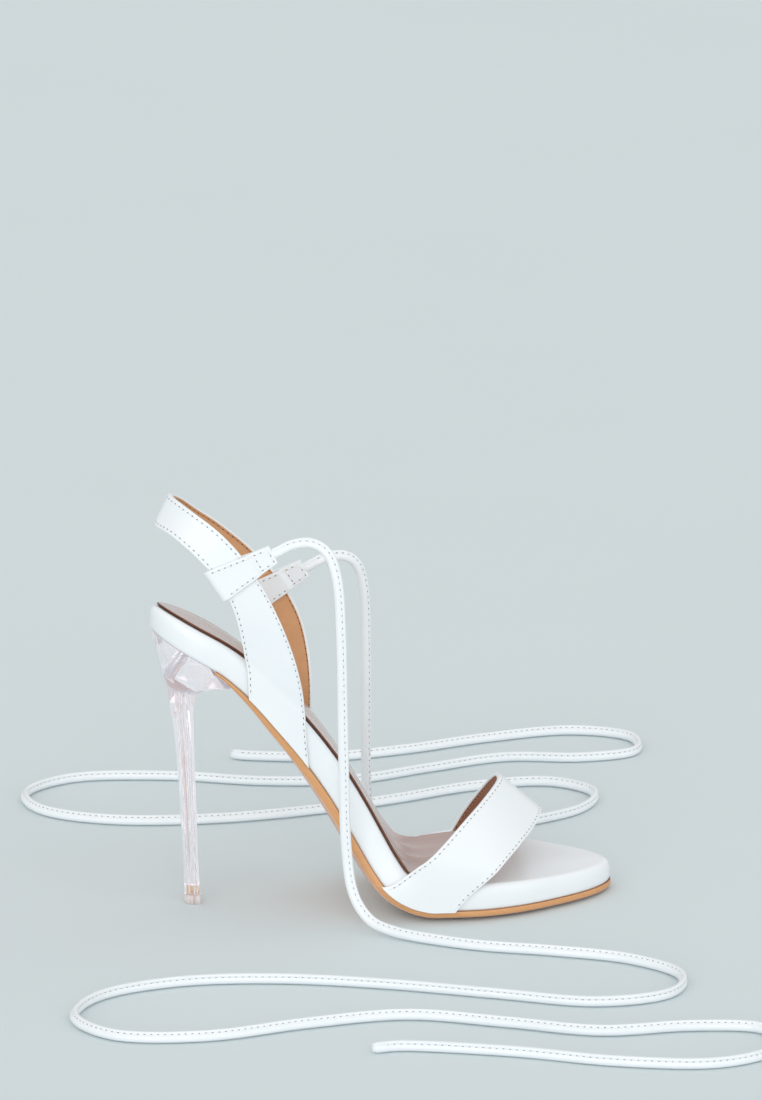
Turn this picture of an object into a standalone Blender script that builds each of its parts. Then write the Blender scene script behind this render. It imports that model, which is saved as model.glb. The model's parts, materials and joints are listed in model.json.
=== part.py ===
"""Lace up heeled sandal for the right foot, EU size 38, on a clear stiletto heel.

Metres, +Z up, toes to +X, the inner side of the foot to +Y. The origin is on the floor,
in the middle of the heel tip's resting face. A thick white footbed carries a lining sock,
a toe strap and a sling round the ankle; each end of the sling's two keepers holds a lace.
"""
import math

import bmesh
import bpy
import numpy as np
from mathutils import Matrix, Vector

# Driving dimensions of the last
BED_LENGTH = 0.1948        # seen from above, heel end to toe tip
HEEL_OVERHANG = 0.0852 * BED_LENGTH     # the seat's reach behind the heel tip's centre
HEEL_RISE = 0.1190         # seat above forefoot
TOE_SPRING = 0.0012
BALL_WIDTH = 0.0780
SIDE_LIFT = 0.0020         # how far the forefoot's long edges curve up
ARCH_RISE = 0.0033         # how far the waist's inner edge stands above its outer edge
FLAT_SHARE = 0.45          # of the half width, that stays flat on the floor
HEEL_ROUND = 0.0250
SEAT_BLEND = 0.0400        # along the sole, over which its side turns from upright to square
TOE_ROUND = 0.0620
TOE_SHARPNESS = 1.75

# Walls, layers and clearances
GAP = 0.0003
RAND_HEIGHT = 0.0113
BED_CROWN = 0.0016
OUTSOLE_THICKNESS = 0.0025
OUTSOLE_EDGE = 0.0004      # stands out past the rand
WAIST_BELLY = 0.0016
OUTSOLE_START = 0.151 * BED_LENGTH      # behind it the heel meets the footbed, along the sole
SOCK_THICKNESS = 0.0012
SOCK_INSET = 0.0033
SOCK_RUN = 0.1830          # along the sole, at its middle
SOCK_SKEW = 0.0150         # its front end lies oblique under the toe strap
STRAP_WALL = 0.0019
STRAP_CLEARANCE = 0.00035
EDGE_BEVEL = 0.0004
TOE_STRAP_HEIGHT = 0.0485  # above the footbed's underside
SLING_HEIGHT = 0.0615      # above the footbed's underside
ANKLE_WIDTH = 0.0520       # inside the sling

# Heel, its tip and what holds them
HEEL_INSET = 0.0009
HEEL_CUP_LENGTH = 0.172 * BED_LENGTH    # seen from above, heel end to front lip
STEM_WIDTH = 0.0078
STEM_DEPTH = 0.0066
TIP_HEIGHT = 0.0040
TIP_EDGE = 0.0004
PIN_RADIUS = 0.0021
PIN_HEIGHT = 0.0036
SCREW_RADIUS = 0.0019
SCREW_LENGTH = 0.0120
SCREW_PLACE = 0.1027 * BED_LENGTH       # along the sole, from its heel end

# Keepers and laces
KEEPER_WIDTH = 0.0144      # at its fold
KEEPER_TAB_WIDTH = 0.0080  # at its end
KEEPER_WALL = 0.0013
KEEPER_CLEARANCE = 0.0004
KEEPER_CLOSING = 0.0028    # over which the two ends come together
KEEPER_SLIT = 0.0003
KEEPER_TAB = 0.0112        # reach past the sling's upper edge
KEEPER_OUTER_STATION = 8.2   # place along SLING_SECTIONS
KEEPER_OUTER_TILT = 27.5     # degrees up from level
KEEPER_INNER_STATION = 18.33
KEEPER_INNER_TILT = 29.0
LACE_DIAMETER = 0.0045
LACE_POINTS = 78

# Sections along the footbed: forward is a share of BED_LENGTH, rise of HEEL_RISE, spring of TOE_SPRING,
# centre and half of BALL_WIDTH, lift of SIDE_LIFT, arch of ARCH_RISE, rand of RAND_HEIGHT, crown of BED_CROWN,
# sole of OUTSOLE_THICKNESS and belly of WAIST_BELLY.
BED_COLUMNS = (
    "forward", "rise", "spring", "centre", "half", "lift", "arch", "rand", "crown", "sole", "belly",
)
BED_SECTIONS = (
    (0.000, 1.000, 0.00, -0.010, 0.292, 0.00, -1.30, 1.00, -0.60, 0.30, 0.00),
    (0.059, 0.950, 0.00, -0.010, 0.292, 0.00, -1.30, 1.00, -0.60, 0.30, 0.00),
    (0.140, 0.870, 0.00, -0.008, 0.292, 0.00, -1.30, 1.00, -0.60, 0.35, 0.00),
    (0.201, 0.781, 0.00, -0.008, 0.292, 0.00, -1.00, 1.00, -0.50, 0.80, 0.20),
    (0.263, 0.661, 0.00, -0.012, 0.284, 0.00, -0.60, 1.00, -0.30, 1.15, 0.60),
    (0.319, 0.545, 0.00, -0.022, 0.274, 0.00, -0.35, 1.00, -0.20, 1.30, 1.00),
    (0.366, 0.431, 0.00, -0.032, 0.276, 0.10, -0.35, 1.00, -0.20, 1.40, 1.00),
    (0.402, 0.327, 0.00, -0.038, 0.290, 0.25, -0.30, 1.00, -0.20, 1.40, 0.90),
    (0.430, 0.237, 0.00, -0.042, 0.315, 0.45, -0.25, 1.00, -0.20, 1.35, 0.60),
    (0.459, 0.146, 0.00, -0.046, 0.352, 0.70, -0.10, 1.00, -0.20, 1.25, 0.30),
    (0.490, 0.072, 0.00, -0.046, 0.394, 0.90, 0.00, 1.00, -0.20, 1.15, 0.10),
    (0.526, 0.030, 0.00, -0.040, 0.432, 1.00, 0.00, 1.00, -0.10, 1.05, 0.00),
    (0.562, 0.008, 0.00, -0.028, 0.460, 1.00, 0.00, 1.00, 0.00, 1.00, 0.00),
    (0.593, 0.000, 0.00, -0.016, 0.478, 1.00, 0.00, 1.00, 0.10, 1.00, 0.00),
    (0.633, 0.000, 0.00, -0.004, 0.492, 1.00, 0.00, 1.00, 0.30, 1.00, 0.00),
    (0.675, 0.000, 0.00, 0.006, 0.502, 1.00, 0.00, 1.00, 0.60, 1.00, 0.00),
    (0.783, 0.000, 0.33, 0.012, 0.482, 0.75, 0.00, 0.92, 1.00, 1.00, 0.00),
    (0.900, 0.000, 0.69, 0.018, 0.440, 0.45, 0.00, 0.82, 0.80, 1.00, 0.00),
    (1.000, 0.000, 1.00, 0.018, 0.420, 0.25, 0.00, 0.78, 0.40, 1.00, 0.00),
)

# Sections round the foot, outer side first. across is a share of the half width there, free of how far the
# strap has left the rand, back and front of BED_LENGTH, back_up and front_up of the strap's height.
TOE_STRAP_SECTIONS = (
    (-1.00, 0.00, 0.481, 0.00, 0.636, 0.00),
    (-1.00, 0.00, 0.501, 0.09, 0.650, 0.07),
    (-1.00, 0.00, 0.519, 0.18, 0.666, 0.14),
    (-1.00, 0.00, 0.539, 0.28, 0.685, 0.21),
    (-0.99, 0.35, 0.563, 0.41, 0.706, 0.29),
    (-0.95, 0.80, 0.595, 0.56, 0.732, 0.38),
    (-0.85, 1.00, 0.631, 0.69, 0.757, 0.45),
    (-0.69, 1.00, 0.667, 0.80, 0.786, 0.52),
    (-0.45, 1.00, 0.708, 0.90, 0.814, 0.57),
    (-0.14, 1.00, 0.745, 0.98, 0.837, 0.62),
    (0.18, 1.00, 0.750, 0.96, 0.845, 0.62),
    (0.44, 1.00, 0.743, 0.86, 0.841, 0.58),
    (0.66, 1.00, 0.730, 0.72, 0.835, 0.51),
    (0.84, 1.00, 0.714, 0.57, 0.827, 0.41),
    (0.96, 0.80, 0.698, 0.42, 0.819, 0.31),
    (1.00, 0.30, 0.685, 0.30, 0.813, 0.22),
    (1.00, 0.00, 0.672, 0.19, 0.809, 0.14),
    (1.00, 0.00, 0.666, 0.09, 0.805, 0.07),
    (1.00, 0.00, 0.662, 0.00, 0.803, 0.00),
)

# The same columns for the sling round the ankle, whose across is a share of half ANKLE_WIDTH once it is free.
SLING_SECTIONS = (
    (-1.00, 0.00, 0.201, 0.00, 0.329, 0.00),
    (-1.00, 0.00, 0.199, 0.10, 0.325, 0.15),
    (-1.00, 0.00, 0.198, 0.18, 0.322, 0.28),
    (-1.00, 0.00, 0.194, 0.26, 0.321, 0.37),
    (-0.98, 0.50, 0.189, 0.34, 0.316, 0.49),
    (-0.98, 1.00, 0.182, 0.42, 0.303, 0.62),
    (-1.00, 1.00, 0.171, 0.52, 0.282, 0.74),
    (-1.00, 1.00, 0.155, 0.60, 0.254, 0.84),
    (-0.98, 1.00, 0.135, 0.66, 0.223, 0.90),
    (-0.94, 1.00, 0.112, 0.70, 0.185, 0.96),
    (-0.85, 1.00, 0.081, 0.74, 0.140, 0.99),
    (-0.60, 1.00, 0.045, 0.76, 0.091, 1.00),
    (-0.20, 1.00, 0.022, 0.74, 0.054, 1.00),
    (0.20, 1.00, 0.023, 0.73, 0.055, 0.98),
    (0.60, 1.00, 0.042, 0.70, 0.078, 0.95),
    (0.85, 1.00, 0.081, 0.67, 0.118, 0.91),
    (0.95, 1.00, 0.125, 0.62, 0.178, 0.91),
    (1.00, 1.00, 0.170, 0.55, 0.239, 0.94),
    (1.00, 1.00, 0.203, 0.48, 0.280, 0.96),
    (0.99, 1.00, 0.226, 0.41, 0.313, 0.93),
    (0.97, 1.00, 0.236, 0.34, 0.339, 0.86),
    (0.97, 0.50, 0.239, 0.26, 0.353, 0.72),
    (1.00, 0.00, 0.239, 0.18, 0.358, 0.54),
    (1.00, 0.00, 0.238, 0.09, 0.356, 0.28),
    (1.00, 0.00, 0.236, 0.00, 0.353, 0.00),
)

# Sections down the heel. back and front are shares of HEEL_CUP_LENGTH forward of the tip's centre, back_up and
# front_up shares of the seat's height, width a share between stem and seat, round the share of the depth that
# the round back takes, and hollow the share of it that the breast is hollowed by.
HEEL_SECTIONS = (
    (-0.465, 0.958, 0.455, 0.818, 1.00, 0.68, 0.00),
    (-0.430, 0.925, 0.350, 0.815, 0.93, 0.70, 0.06),
    (-0.396, 0.893, 0.225, 0.809, 0.82, 0.74, 0.12),
    (-0.366, 0.860, 0.130, 0.798, 0.66, 0.80, 0.16),
    (-0.330, 0.818, 0.064, 0.776, 0.46, 0.84, 0.16),
    (-0.287, 0.768, 0.028, 0.738, 0.30, 0.85, 0.13),
    (-0.257, 0.710, 0.020, 0.690, 0.19, 0.82, 0.09),
    (-0.221, 0.640, 0.026, 0.630, 0.12, 0.78, 0.05),
    (-0.185, 0.540, 0.036, 0.536, 0.07, 0.72, 0.00),
    (-0.152, 0.420, 0.050, 0.420, 0.04, 0.68, 0.00),
    (-0.131, 0.290, 0.062, 0.290, 0.02, 0.66, 0.00),
    (-0.107, 0.150, 0.076, 0.150, 0.00, 0.65, 0.00),
)
STEM_ROUND = 0.65          # share of the stem's depth that its round back takes

# Steps down the side of each layer: inset in metres, and share of the height
RAND_STEPS = ((0.0013, 0.0), (0.0003, 0.12), (0.0, 0.32), (0.0, 0.55), (0.0004, 0.76), (0.0013, 0.92), (0.0032, 1.0))
OUTSOLE_STEPS = ((0.0008, 0.0), (0.0, 0.30), (0.0, 0.80), (0.0003, 1.0))
SOCK_STEPS = ((0.0003, 0.0), (0.0, 0.35), (0.0, 0.70), (0.0005, 1.0))

# Where the laces lie, in metres: out of the keeper, down to the floor, and there in loose bends
LACE_OUTER_ROUTE = (
    (0.0333, -0.0253, 0.1582), (0.0415, -0.0250, 0.1618), (0.0496, -0.0262, 0.1622), (0.0560, -0.0288, 0.1572),
    (0.0592, -0.0316, 0.1450), (0.0602, -0.0337, 0.1230), (0.0606, -0.0350, 0.0950), (0.0610, -0.0362, 0.0650),
    (0.0616, -0.0380, 0.0370), (0.0638, -0.0422, 0.0170), (0.0698, -0.0492, 0.0066), (0.0790, -0.0568, 0.0034),
    (0.0940, -0.0665, 0.0026), (0.1150, -0.0775, 0.0026), (0.1420, -0.0865, 0.0026), (0.1720, -0.1000, 0.0026),
    (0.1900, -0.1220, 0.0026), (0.1810, -0.1450, 0.0026), (0.1500, -0.1510, 0.0026), (0.1120, -0.1370, 0.0026),
    (0.0700, -0.1210, 0.0026), (0.0280, -0.1100, 0.0026), (-0.0120, -0.1090, 0.0026), (-0.0450, -0.1220, 0.0026),
    (-0.0580, -0.1480, 0.0026), (-0.0420, -0.1720, 0.0026), (-0.0060, -0.1760, 0.0026), (0.0340, -0.1650, 0.0026),
    (0.0740, -0.1590, 0.0026), (0.1120, -0.1720, 0.0026), (0.1480, -0.1860, 0.0026), (0.1840, -0.1840, 0.0026),
    (0.2120, -0.1900, 0.0026), (0.2140, -0.2140, 0.0026), (0.1880, -0.2280, 0.0026), (0.1500, -0.2220, 0.0026),
    (0.1120, -0.2070, 0.0026), (0.0720, -0.1960, 0.0026), (0.0560, -0.1970, 0.0026),
)
LACE_INNER_ROUTE = (
    (0.0511, 0.0268, 0.1378), (0.0592, 0.0266, 0.1418), (0.0672, 0.0276, 0.1424), (0.0734, 0.0300, 0.1374),
    (0.0766, 0.0330, 0.1250), (0.0776, 0.0362, 0.1040), (0.0780, 0.0394, 0.0780), (0.0782, 0.0418, 0.0520),
    (0.0790, 0.0442, 0.0300), (0.0818, 0.0484, 0.0140), (0.0880, 0.0548, 0.0060), (0.0975, 0.0622, 0.0032),
    (0.1120, 0.0712, 0.0026), (0.1300, 0.0796, 0.0026), (0.1540, 0.0895, 0.0026), (0.1800, 0.1060, 0.0026),
    (0.1890, 0.1300, 0.0026), (0.1700, 0.1480, 0.0026), (0.1360, 0.1440, 0.0026), (0.0980, 0.1280, 0.0026),
    (0.0580, 0.1150, 0.0026), (0.0160, 0.1080, 0.0026), (-0.0260, 0.1110, 0.0026), (-0.0560, 0.1280, 0.0026),
    (-0.0620, 0.1560, 0.0026), (-0.0380, 0.1760, 0.0026), (0.0040, 0.1740, 0.0026), (0.0440, 0.1620, 0.0026),
    (0.0840, 0.1600, 0.0026), (0.1200, 0.1740, 0.0026), (0.1560, 0.1870, 0.0026), (0.1900, 0.1830, 0.0026),
    (0.2160, 0.1900, 0.0026), (0.2170, 0.2140, 0.0026), (0.1900, 0.2260, 0.0026), (0.1520, 0.2180, 0.0026),
    (0.1140, 0.2040, 0.0026), (0.0780, 0.1960, 0.0026), (0.0460, 0.2000, 0.0026), (0.0330, 0.2045, 0.0026),
)

SMOOTH_STEPS = 12
ROUND_STEPS = 7
TOE_STEPS = 9
ALONG_STEP = 0.0066
ACROSS_STEPS = 6
STRAP_RINGS = 1.5         # for each section of a strap's table
HEEL_STEPS = 9
HEEL_ACROSS = 6
SOLE_STEP = 0.0012         # over which the heel's top drops under the outsole
MEETING = 1e-7             # points this close are one
SHARP_ANGLE = 38


def monotone_slopes(rows):
    """Slope of each column at each row, level where the column turns or lies flat."""
    spans = np.diff(rows[:, :1], axis=0)
    rates = np.diff(rows, axis=0) / spans
    before, after = rates[:-1], rates[1:]
    same_way = before * after > 0
    weight_before = 2 * spans[1:] + spans[:-1]
    weight_after = spans[1:] + 2 * spans[:-1]
    share = weight_before / np.where(same_way, before, 1) + weight_after / np.where(same_way, after, 1)
    inner = np.where(same_way, (weight_before + weight_after) / share, 0)
    return np.vstack([rates[:1], inner, rates[-1:]])


def filled(rows, slopes, steps=SMOOTH_STEPS):
    """A table with each gap filled by a cubic span along its first column."""
    found = []
    for low, high, start, end in zip(rows, rows[1:], slopes, slopes[1:]):
        gap = high[0] - low[0]
        for t in np.arange(steps) / steps:
            found.append(
                (1 + 2 * t) * (1 - t) ** 2 * low + t * (1 - t) ** 2 * gap * start
                + t * t * (3 - 2 * t) * high + t * t * (t - 1) * gap * end
            )
    found.append(rows[-1])
    return np.array(found)


def curve_through(rows, steps=SMOOTH_STEPS):
    """A smooth curve through rows of points or sections."""
    numbered = np.column_stack([np.arange(len(rows)), np.array(rows, float)])
    return filled(numbered, np.gradient(numbered, axis=0), steps)[:, 1:]


def evenly(points, count):
    """The same curve with its points spaced evenly."""
    run = np.concatenate([[0], np.cumsum(np.linalg.norm(np.diff(points, axis=0), axis=1))])
    places = np.linspace(0, run[-1], count)
    return np.column_stack([np.interp(places, run, column) for column in points.T])


# The footbed's underside as a line seen from the side, with its sections
bed_rows = np.array(BED_SECTIONS)
bed = dict(zip(BED_COLUMNS, filled(bed_rows, monotone_slopes(bed_rows)).T))
bed_x = bed["forward"] * BED_LENGTH - HEEL_OVERHANG
bed_z = OUTSOLE_THICKNESS + GAP + bed["rise"] * HEEL_RISE + bed["spring"] * TOE_SPRING
bed_run = np.concatenate([[0], np.cumsum(np.hypot(np.diff(bed_x), np.diff(bed_z)))])
bed_slope = np.arctan2(np.gradient(bed_z, bed_run), np.gradient(bed_x, bed_run))
SOLE_RUN = bed_run[-1]


def smooth_share(share):
    """0 before a span, 1 after it and a soft rise between."""
    share = np.clip(share, 0, 1)
    return share * share * (3 - 2 * share)


def bed_value(column, run):
    return np.interp(run, bed_run, bed[column])


def rounding(reach, radius, power):
    """How much of the width is left at a distance from a round end."""
    left = np.clip(1 - reach / radius, 0, 1)
    return (1 - left ** power) ** (1 / power)


def outline(share, inset):
    """Run along the sole, centre line and half width of its outline, drawn in by inset."""
    length = SOLE_RUN - 2 * inset
    run = inset + share * length
    half = bed_value("half", run) * BALL_WIDTH - inset
    half = half * rounding(share * length, HEEL_ROUND - inset, 2)
    half = half * rounding((1 - share) * length, TOE_ROUND - inset, TOE_SHARPNESS)
    return run, bed_value("centre", run) * BALL_WIDTH, half


def full_half(run):
    return outline(np.clip(run / SOLE_RUN, 0, 1), 0)[2]


def side_lift(run, across):
    """How far the sole curves up at a share of its half width."""
    bend = np.clip((np.minimum(np.abs(across), 1) - FLAT_SHARE) / (1 - FLAT_SHARE), 0, 1)
    inward = (1 + np.clip(across, -1, 1)) / 2
    return SIDE_LIFT * bed_value("lift", run) * bend ** 2 + ARCH_RISE * bed_value("arch", run) * inward ** 2


def bed_point(run, across, y, height):
    """A point at a height above the footbed's underside: square to it, but upright at the heel end."""
    slope = np.interp(run, bed_run, bed_slope)
    lean = slope * smooth_share(run / SEAT_BLEND)
    rise = (height + side_lift(run, across)) / np.cos(slope - lean)
    past_end = run - np.clip(run, 0, SOLE_RUN)
    x = np.interp(run, bed_run, bed_x) - np.sin(lean) * rise + np.cos(slope) * past_end
    z = np.interp(run, bed_run, bed_z) + np.cos(lean) * rise + np.sin(slope) * past_end
    return np.stack(np.broadcast_arrays(x, y, z), axis=-1)


def arch(across):
    """1 in the middle of the sole and 0 at its edges."""
    return 1 - np.minimum(np.abs(across), 1) ** 2


def bed_height(run, across):
    """Height of the footbed's top above its underside."""
    return RAND_HEIGHT * bed_value("rand", run) + BED_CROWN * bed_value("crown", run) * arch(across)


def outsole_depth(run, across):
    """How far the outsole's underside lies below the footbed's."""
    belly = WAIST_BELLY * bed_value("belly", run) * arch(across)
    return GAP + OUTSOLE_THICKNESS * bed_value("sole", run) + belly


def sole_stations(first=0.0, last=1.0):
    """Shares of the sole's run: close together at its round ends, even between them."""
    heel = (1 - np.cos(np.linspace(0, math.pi / 2, ROUND_STEPS + 1))) * HEEL_ROUND / SOLE_RUN
    toe = 1 - (1 - np.cos(np.linspace(math.pi / 2, 0, TOE_STEPS + 1))) * TOE_ROUND / SOLE_RUN
    count = math.ceil((toe[0] - heel[-1]) * SOLE_RUN / ALONG_STEP)
    shares = np.concatenate([heel, np.linspace(heel[-1], toe[0], count + 1)[1:-1], toe])
    near = 0.4 * ALONG_STEP / SOLE_RUN
    kept = shares[(shares > first + (near if first else 0)) & (shares < last - (near if last < 1 else 0))]
    return np.concatenate([[first], kept, [last]])


def clear_scene():
    for thing in list(bpy.data.objects):
        bpy.data.objects.remove(thing, do_unlink=True)


def new_collection(name):
    made = bpy.data.collections.new(name)
    bpy.context.scene.collection.children.link(made)
    return made


def material(name, colour, roughness, metallic=0.0, transmission=0.0):
    made = bpy.data.materials.new(name)
    made.use_nodes = True
    shader = made.node_tree.nodes["Principled BSDF"]
    shader.inputs["Base Color"].default_value = (*colour, 1)
    shader.inputs["Roughness"].default_value = roughness
    shader.inputs["Metallic"].default_value = metallic
    shader.inputs["Transmission Weight"].default_value = transmission
    return made


def add_piece(name, mesh, finish, collection):
    thing = bpy.data.objects.new(name, mesh)
    collection.objects.link(thing)
    mesh.materials.append(finish)
    return thing


def add_grid(form, grid, closed_round=False, cap_first=False, cap_last=False):
    """Adds faces over a grid of points, whose rows may close on themselves and end in caps."""
    points = [[form.verts.new(point) for point in row] for row in grid]
    columns = len(points[0])
    for row, following in zip(points, points[1:]):
        for column in range(columns if closed_round else columns - 1):
            after = (column + 1) % columns
            form.faces.new((row[column], row[after], following[after], following[column]))
    if cap_first:
        form.faces.new(points[0])
    if cap_last:
        form.faces.new(points[-1])


def finished_mesh(name, form):
    """Joins the points that meet, faces the surface outward and shades it smooth."""
    bmesh.ops.remove_doubles(form, verts=form.verts, dist=MEETING)
    bmesh.ops.recalc_face_normals(form, faces=form.faces)
    mesh = bpy.data.meshes.new(name)
    form.to_mesh(mesh)
    form.free()
    mesh.shade_smooth()
    mesh.set_sharp_from_angle(angle=math.radians(SHARP_ANGLE))
    return mesh


def layer_mesh(name, shares, steps, bottom, top, grow=0.0, skew=0.0):
    """A layer of the sole. bottom and top give its heights; skew moves its front end's sides apart."""
    columns = []

    def add(inset, share_up, spread):
        run, centre, half = outline(shares, inset - grow)
        across = half * spread / np.maximum(full_half(run), MEETING)
        run = run + skew * across * (shares / shares[-1]) ** 4
        low = bottom(run, across)
        height = low + share_up * (top(run, across) - low)
        columns.append(bed_point(run, across, centre + half * spread, height))

    spreads = np.linspace(-1, 1, ACROSS_STEPS + 1)[1:-1]
    for inset, share_up in steps:
        add(inset, share_up, -1)
    for spread in spreads:
        add(*steps[-1], spread)
    for inset, share_up in reversed(steps):
        add(inset, share_up, 1)
    for spread in reversed(spreads):
        add(*steps[0], spread)
    form = bmesh.new()
    add_grid(form, np.stack(columns, axis=1), closed_round=True, cap_first=shares[0] > 0, cap_last=shares[-1] < 1)
    return finished_mesh(name, form)


def make_footbed(finish, collection):
    """The platform with its wrapped rand, cupped under the heel and domed at the toe."""
    mesh = layer_mesh("footbed", sole_stations(), RAND_STEPS, lambda run, across: 0 * run, bed_height)
    return add_piece("footbed", mesh, finish, collection)


def make_outsole(finish, collection):
    """The thin leather-look sole, from the heel's breast to the toe."""
    mesh = layer_mesh(
        "outsole", sole_stations(first=OUTSOLE_START / SOLE_RUN), OUTSOLE_STEPS,
        lambda run, across: -outsole_depth(run, across), lambda run, across: 0 * run - GAP, grow=OUTSOLE_EDGE,
    )
    return add_piece("outsole", mesh, finish, collection)


def make_sock(finish, collection):
    """The padded lining on the footbed, which ends oblique under the toe strap."""
    mesh = layer_mesh(
        "sock", sole_stations(last=SOCK_RUN / SOLE_RUN), SOCK_STEPS,
        lambda run, across: bed_height(run, across) + GAP,
        lambda run, across: bed_height(run, across) + GAP + SOCK_THICKNESS, grow=-SOCK_INSET, skew=SOCK_SKEW,
    )
    return add_piece("sock", mesh, finish, collection)


def rand_side(x, z):
    """Run along the sole of the spot on the footbed that lies square below x, z."""
    run = np.interp(x, bed_x, bed_run)
    for _ in range(8):
        slope = np.interp(run, bed_run, bed_slope)
        ahead = (x - np.interp(run, bed_run, bed_x)) * np.cos(slope)
        above = (z - np.interp(run, bed_run, bed_z)) * np.sin(slope)
        run = np.clip(run + 0.7 * (ahead + above), 0, SOLE_RUN)
    return run


def strap_points(sections, place, height, ankle_half=None):
    """The inner face of a strap, at a place across it from 0 at its back edge to 1 at its front edge."""
    across, free, back, back_up, front, front_up = sections.T
    x = (back + place * (front - back)) * BED_LENGTH - HEEL_OVERHANG
    up = (back_up + place * (front_up - back_up)) * height
    below = np.interp(x, bed_x, bed_run)
    z = np.interp(x, bed_x, bed_z) + up
    side_run = rand_side(x, z)
    side = bed_value("centre", side_run) * BALL_WIDTH + np.sign(across) * (full_half(side_run) + STRAP_CLEARANCE)
    if ankle_half is None:
        loose = bed_value("centre", below) * BALL_WIDTH + across * (full_half(below) + STRAP_CLEARANCE)
    else:
        loose = across * ankle_half
    y = (1 - free) * side + free * loose
    return np.stack([x, y, z + (1 - free) * side_lift(below, across)], axis=-1)


def strap_mesh(name, grid):
    """An open sheet over the grid, facing away from the foot, for a wall to be added outside it."""
    form = bmesh.new()
    add_grid(form, grid)
    form.faces.ensure_lookup_table()
    bmesh.ops.recalc_face_normals(form, faces=form.faces)
    form.normal_update()
    if form.faces[0].normal.y > 0:
        bmesh.ops.reverse_faces(form, faces=form.faces)
    mesh = bpy.data.meshes.new(name)
    form.to_mesh(mesh)
    form.free()
    mesh.shade_smooth()
    return mesh


def add_wall(thing, wall, offset=1.0):
    """Thickens a sheet away from the foot and softens the edges of its wall."""
    shell = thing.modifiers.new("Wall", "SOLIDIFY")
    shell.thickness = wall
    shell.offset = offset
    shell.use_even_offset = True
    edge = thing.modifiers.new("Edge", "BEVEL")
    edge.width = EDGE_BEVEL
    edge.segments = 1
    edge.limit_method = "ANGLE"
    edge.angle_limit = math.radians(50)
    return thing


def strap_grid(table, height, steps, ankle_half=None):
    sections = curve_through(table)
    count = math.ceil(STRAP_RINGS * len(table))
    sections = sections[np.linspace(0, len(sections) - 1, count).round().astype(int)]
    places = np.linspace(0, 1, steps + 1)
    return np.stack([strap_points(sections, place, height, ankle_half) for place in places], axis=1)


def make_toe_strap(finish, collection):
    """The wide band over the forefoot, lasted under the footbed on both sides."""
    mesh = strap_mesh("toe_strap", strap_grid(TOE_STRAP_SECTIONS, TOE_STRAP_HEIGHT, 6))
    return add_wall(add_piece("toe_strap", mesh, finish, collection), STRAP_WALL)


def make_ankle_strap(finish, collection):
    """The sling, from the outer side of the waist round behind the ankle to the inner side."""
    mesh = strap_mesh("ankle_strap", strap_grid(SLING_SECTIONS, SLING_HEIGHT, 4, ANKLE_WIDTH / 2))
    return add_wall(add_piece("ankle_strap", mesh, finish, collection), STRAP_WALL)


class KeeperPlace:
    """Where a keeper crosses the sling: its own axes, and the sling's surface there as a gentle curve."""

    def __init__(self, station, tilt):
        fine = curve_through(SLING_SECTIONS, 24)
        near = fine[int((station - 2.5) * 24):int((station + 2.5) * 24)]
        middle = fine[int(round(station * 24))][None]
        self.side = math.copysign(1, middle[0, 0])
        half = ANKLE_WIDTH / 2
        self.centre = strap_points(middle, 0.5, SLING_HEIGHT, half)[0]
        self.ahead = np.array([math.cos(math.radians(tilt)), 0, math.sin(math.radians(tilt))])
        self.along = np.array([self.ahead[2], 0, -self.ahead[0]])
        spots = np.stack([strap_points(near, place, SLING_HEIGHT, half) for place in np.linspace(0, 1, 13)])
        ahead, along = (spots - self.centre) @ self.ahead, (spots - self.centre) @ self.along
        covered = np.abs(along) < KEEPER_WIDTH / 2
        self.low_lean, rest = self.edge(ahead[0][covered[0]], along[0][covered[0]])
        self.low = rest.min()
        self.high_lean, rest = self.edge(ahead[-1][covered[-1]], along[-1][covered[-1]])
        self.high = rest.max()
        ahead, along = ahead[covered], along[covered]
        terms = np.stack([np.ones(len(ahead)), ahead, ahead ** 2, along], axis=1)
        self.fit = np.linalg.lstsq(terms, spots[covered][:, 1], rcond=None)[0]

    def edge(self, ahead, along):
        """How far an edge of the sling leans across the keeper, and how far ahead it lies without that."""
        lean = np.polyfit(along, ahead, 1)[0]
        return lean, ahead - lean * along

    def leaned(self, ahead, along, tab_end):
        """Places along the keeper, moved so that its fold follows the sling's edge and its tab ends square."""
        leans = np.interp(ahead, (self.low, self.high, tab_end), (self.low_lean, self.high_lean, 0))
        return ahead + leans * along

    def point(self, ahead, along, offset):
        """A point at an offset outward from the middle of the sling's wall, on a straight run past its edges."""
        held = np.clip(ahead, self.low - KEEPER_WALL, self.high + KEEPER_WALL)
        rate = self.fit[1] + 2 * self.fit[2] * held
        y = self.fit[0] + self.fit[1] * held + self.fit[2] * held ** 2 + self.fit[3] * along
        y = y + rate * (ahead - held)
        outward = np.cross(self.ahead + [0, 1, 0] * rate[..., None], self.along + [0, self.fit[3], 0])
        outward /= np.linalg.norm(outward, axis=-1, keepdims=True)
        outward *= np.sign(outward[..., 1:2]) * self.side
        spot = ahead[..., None] * self.ahead + along[..., None] * self.along
        spot = spot + [self.centre[0], 0, self.centre[2]]
        spot[..., 1] = y
        return spot + outward * (offset + STRAP_WALL / 2)[..., None]


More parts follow.
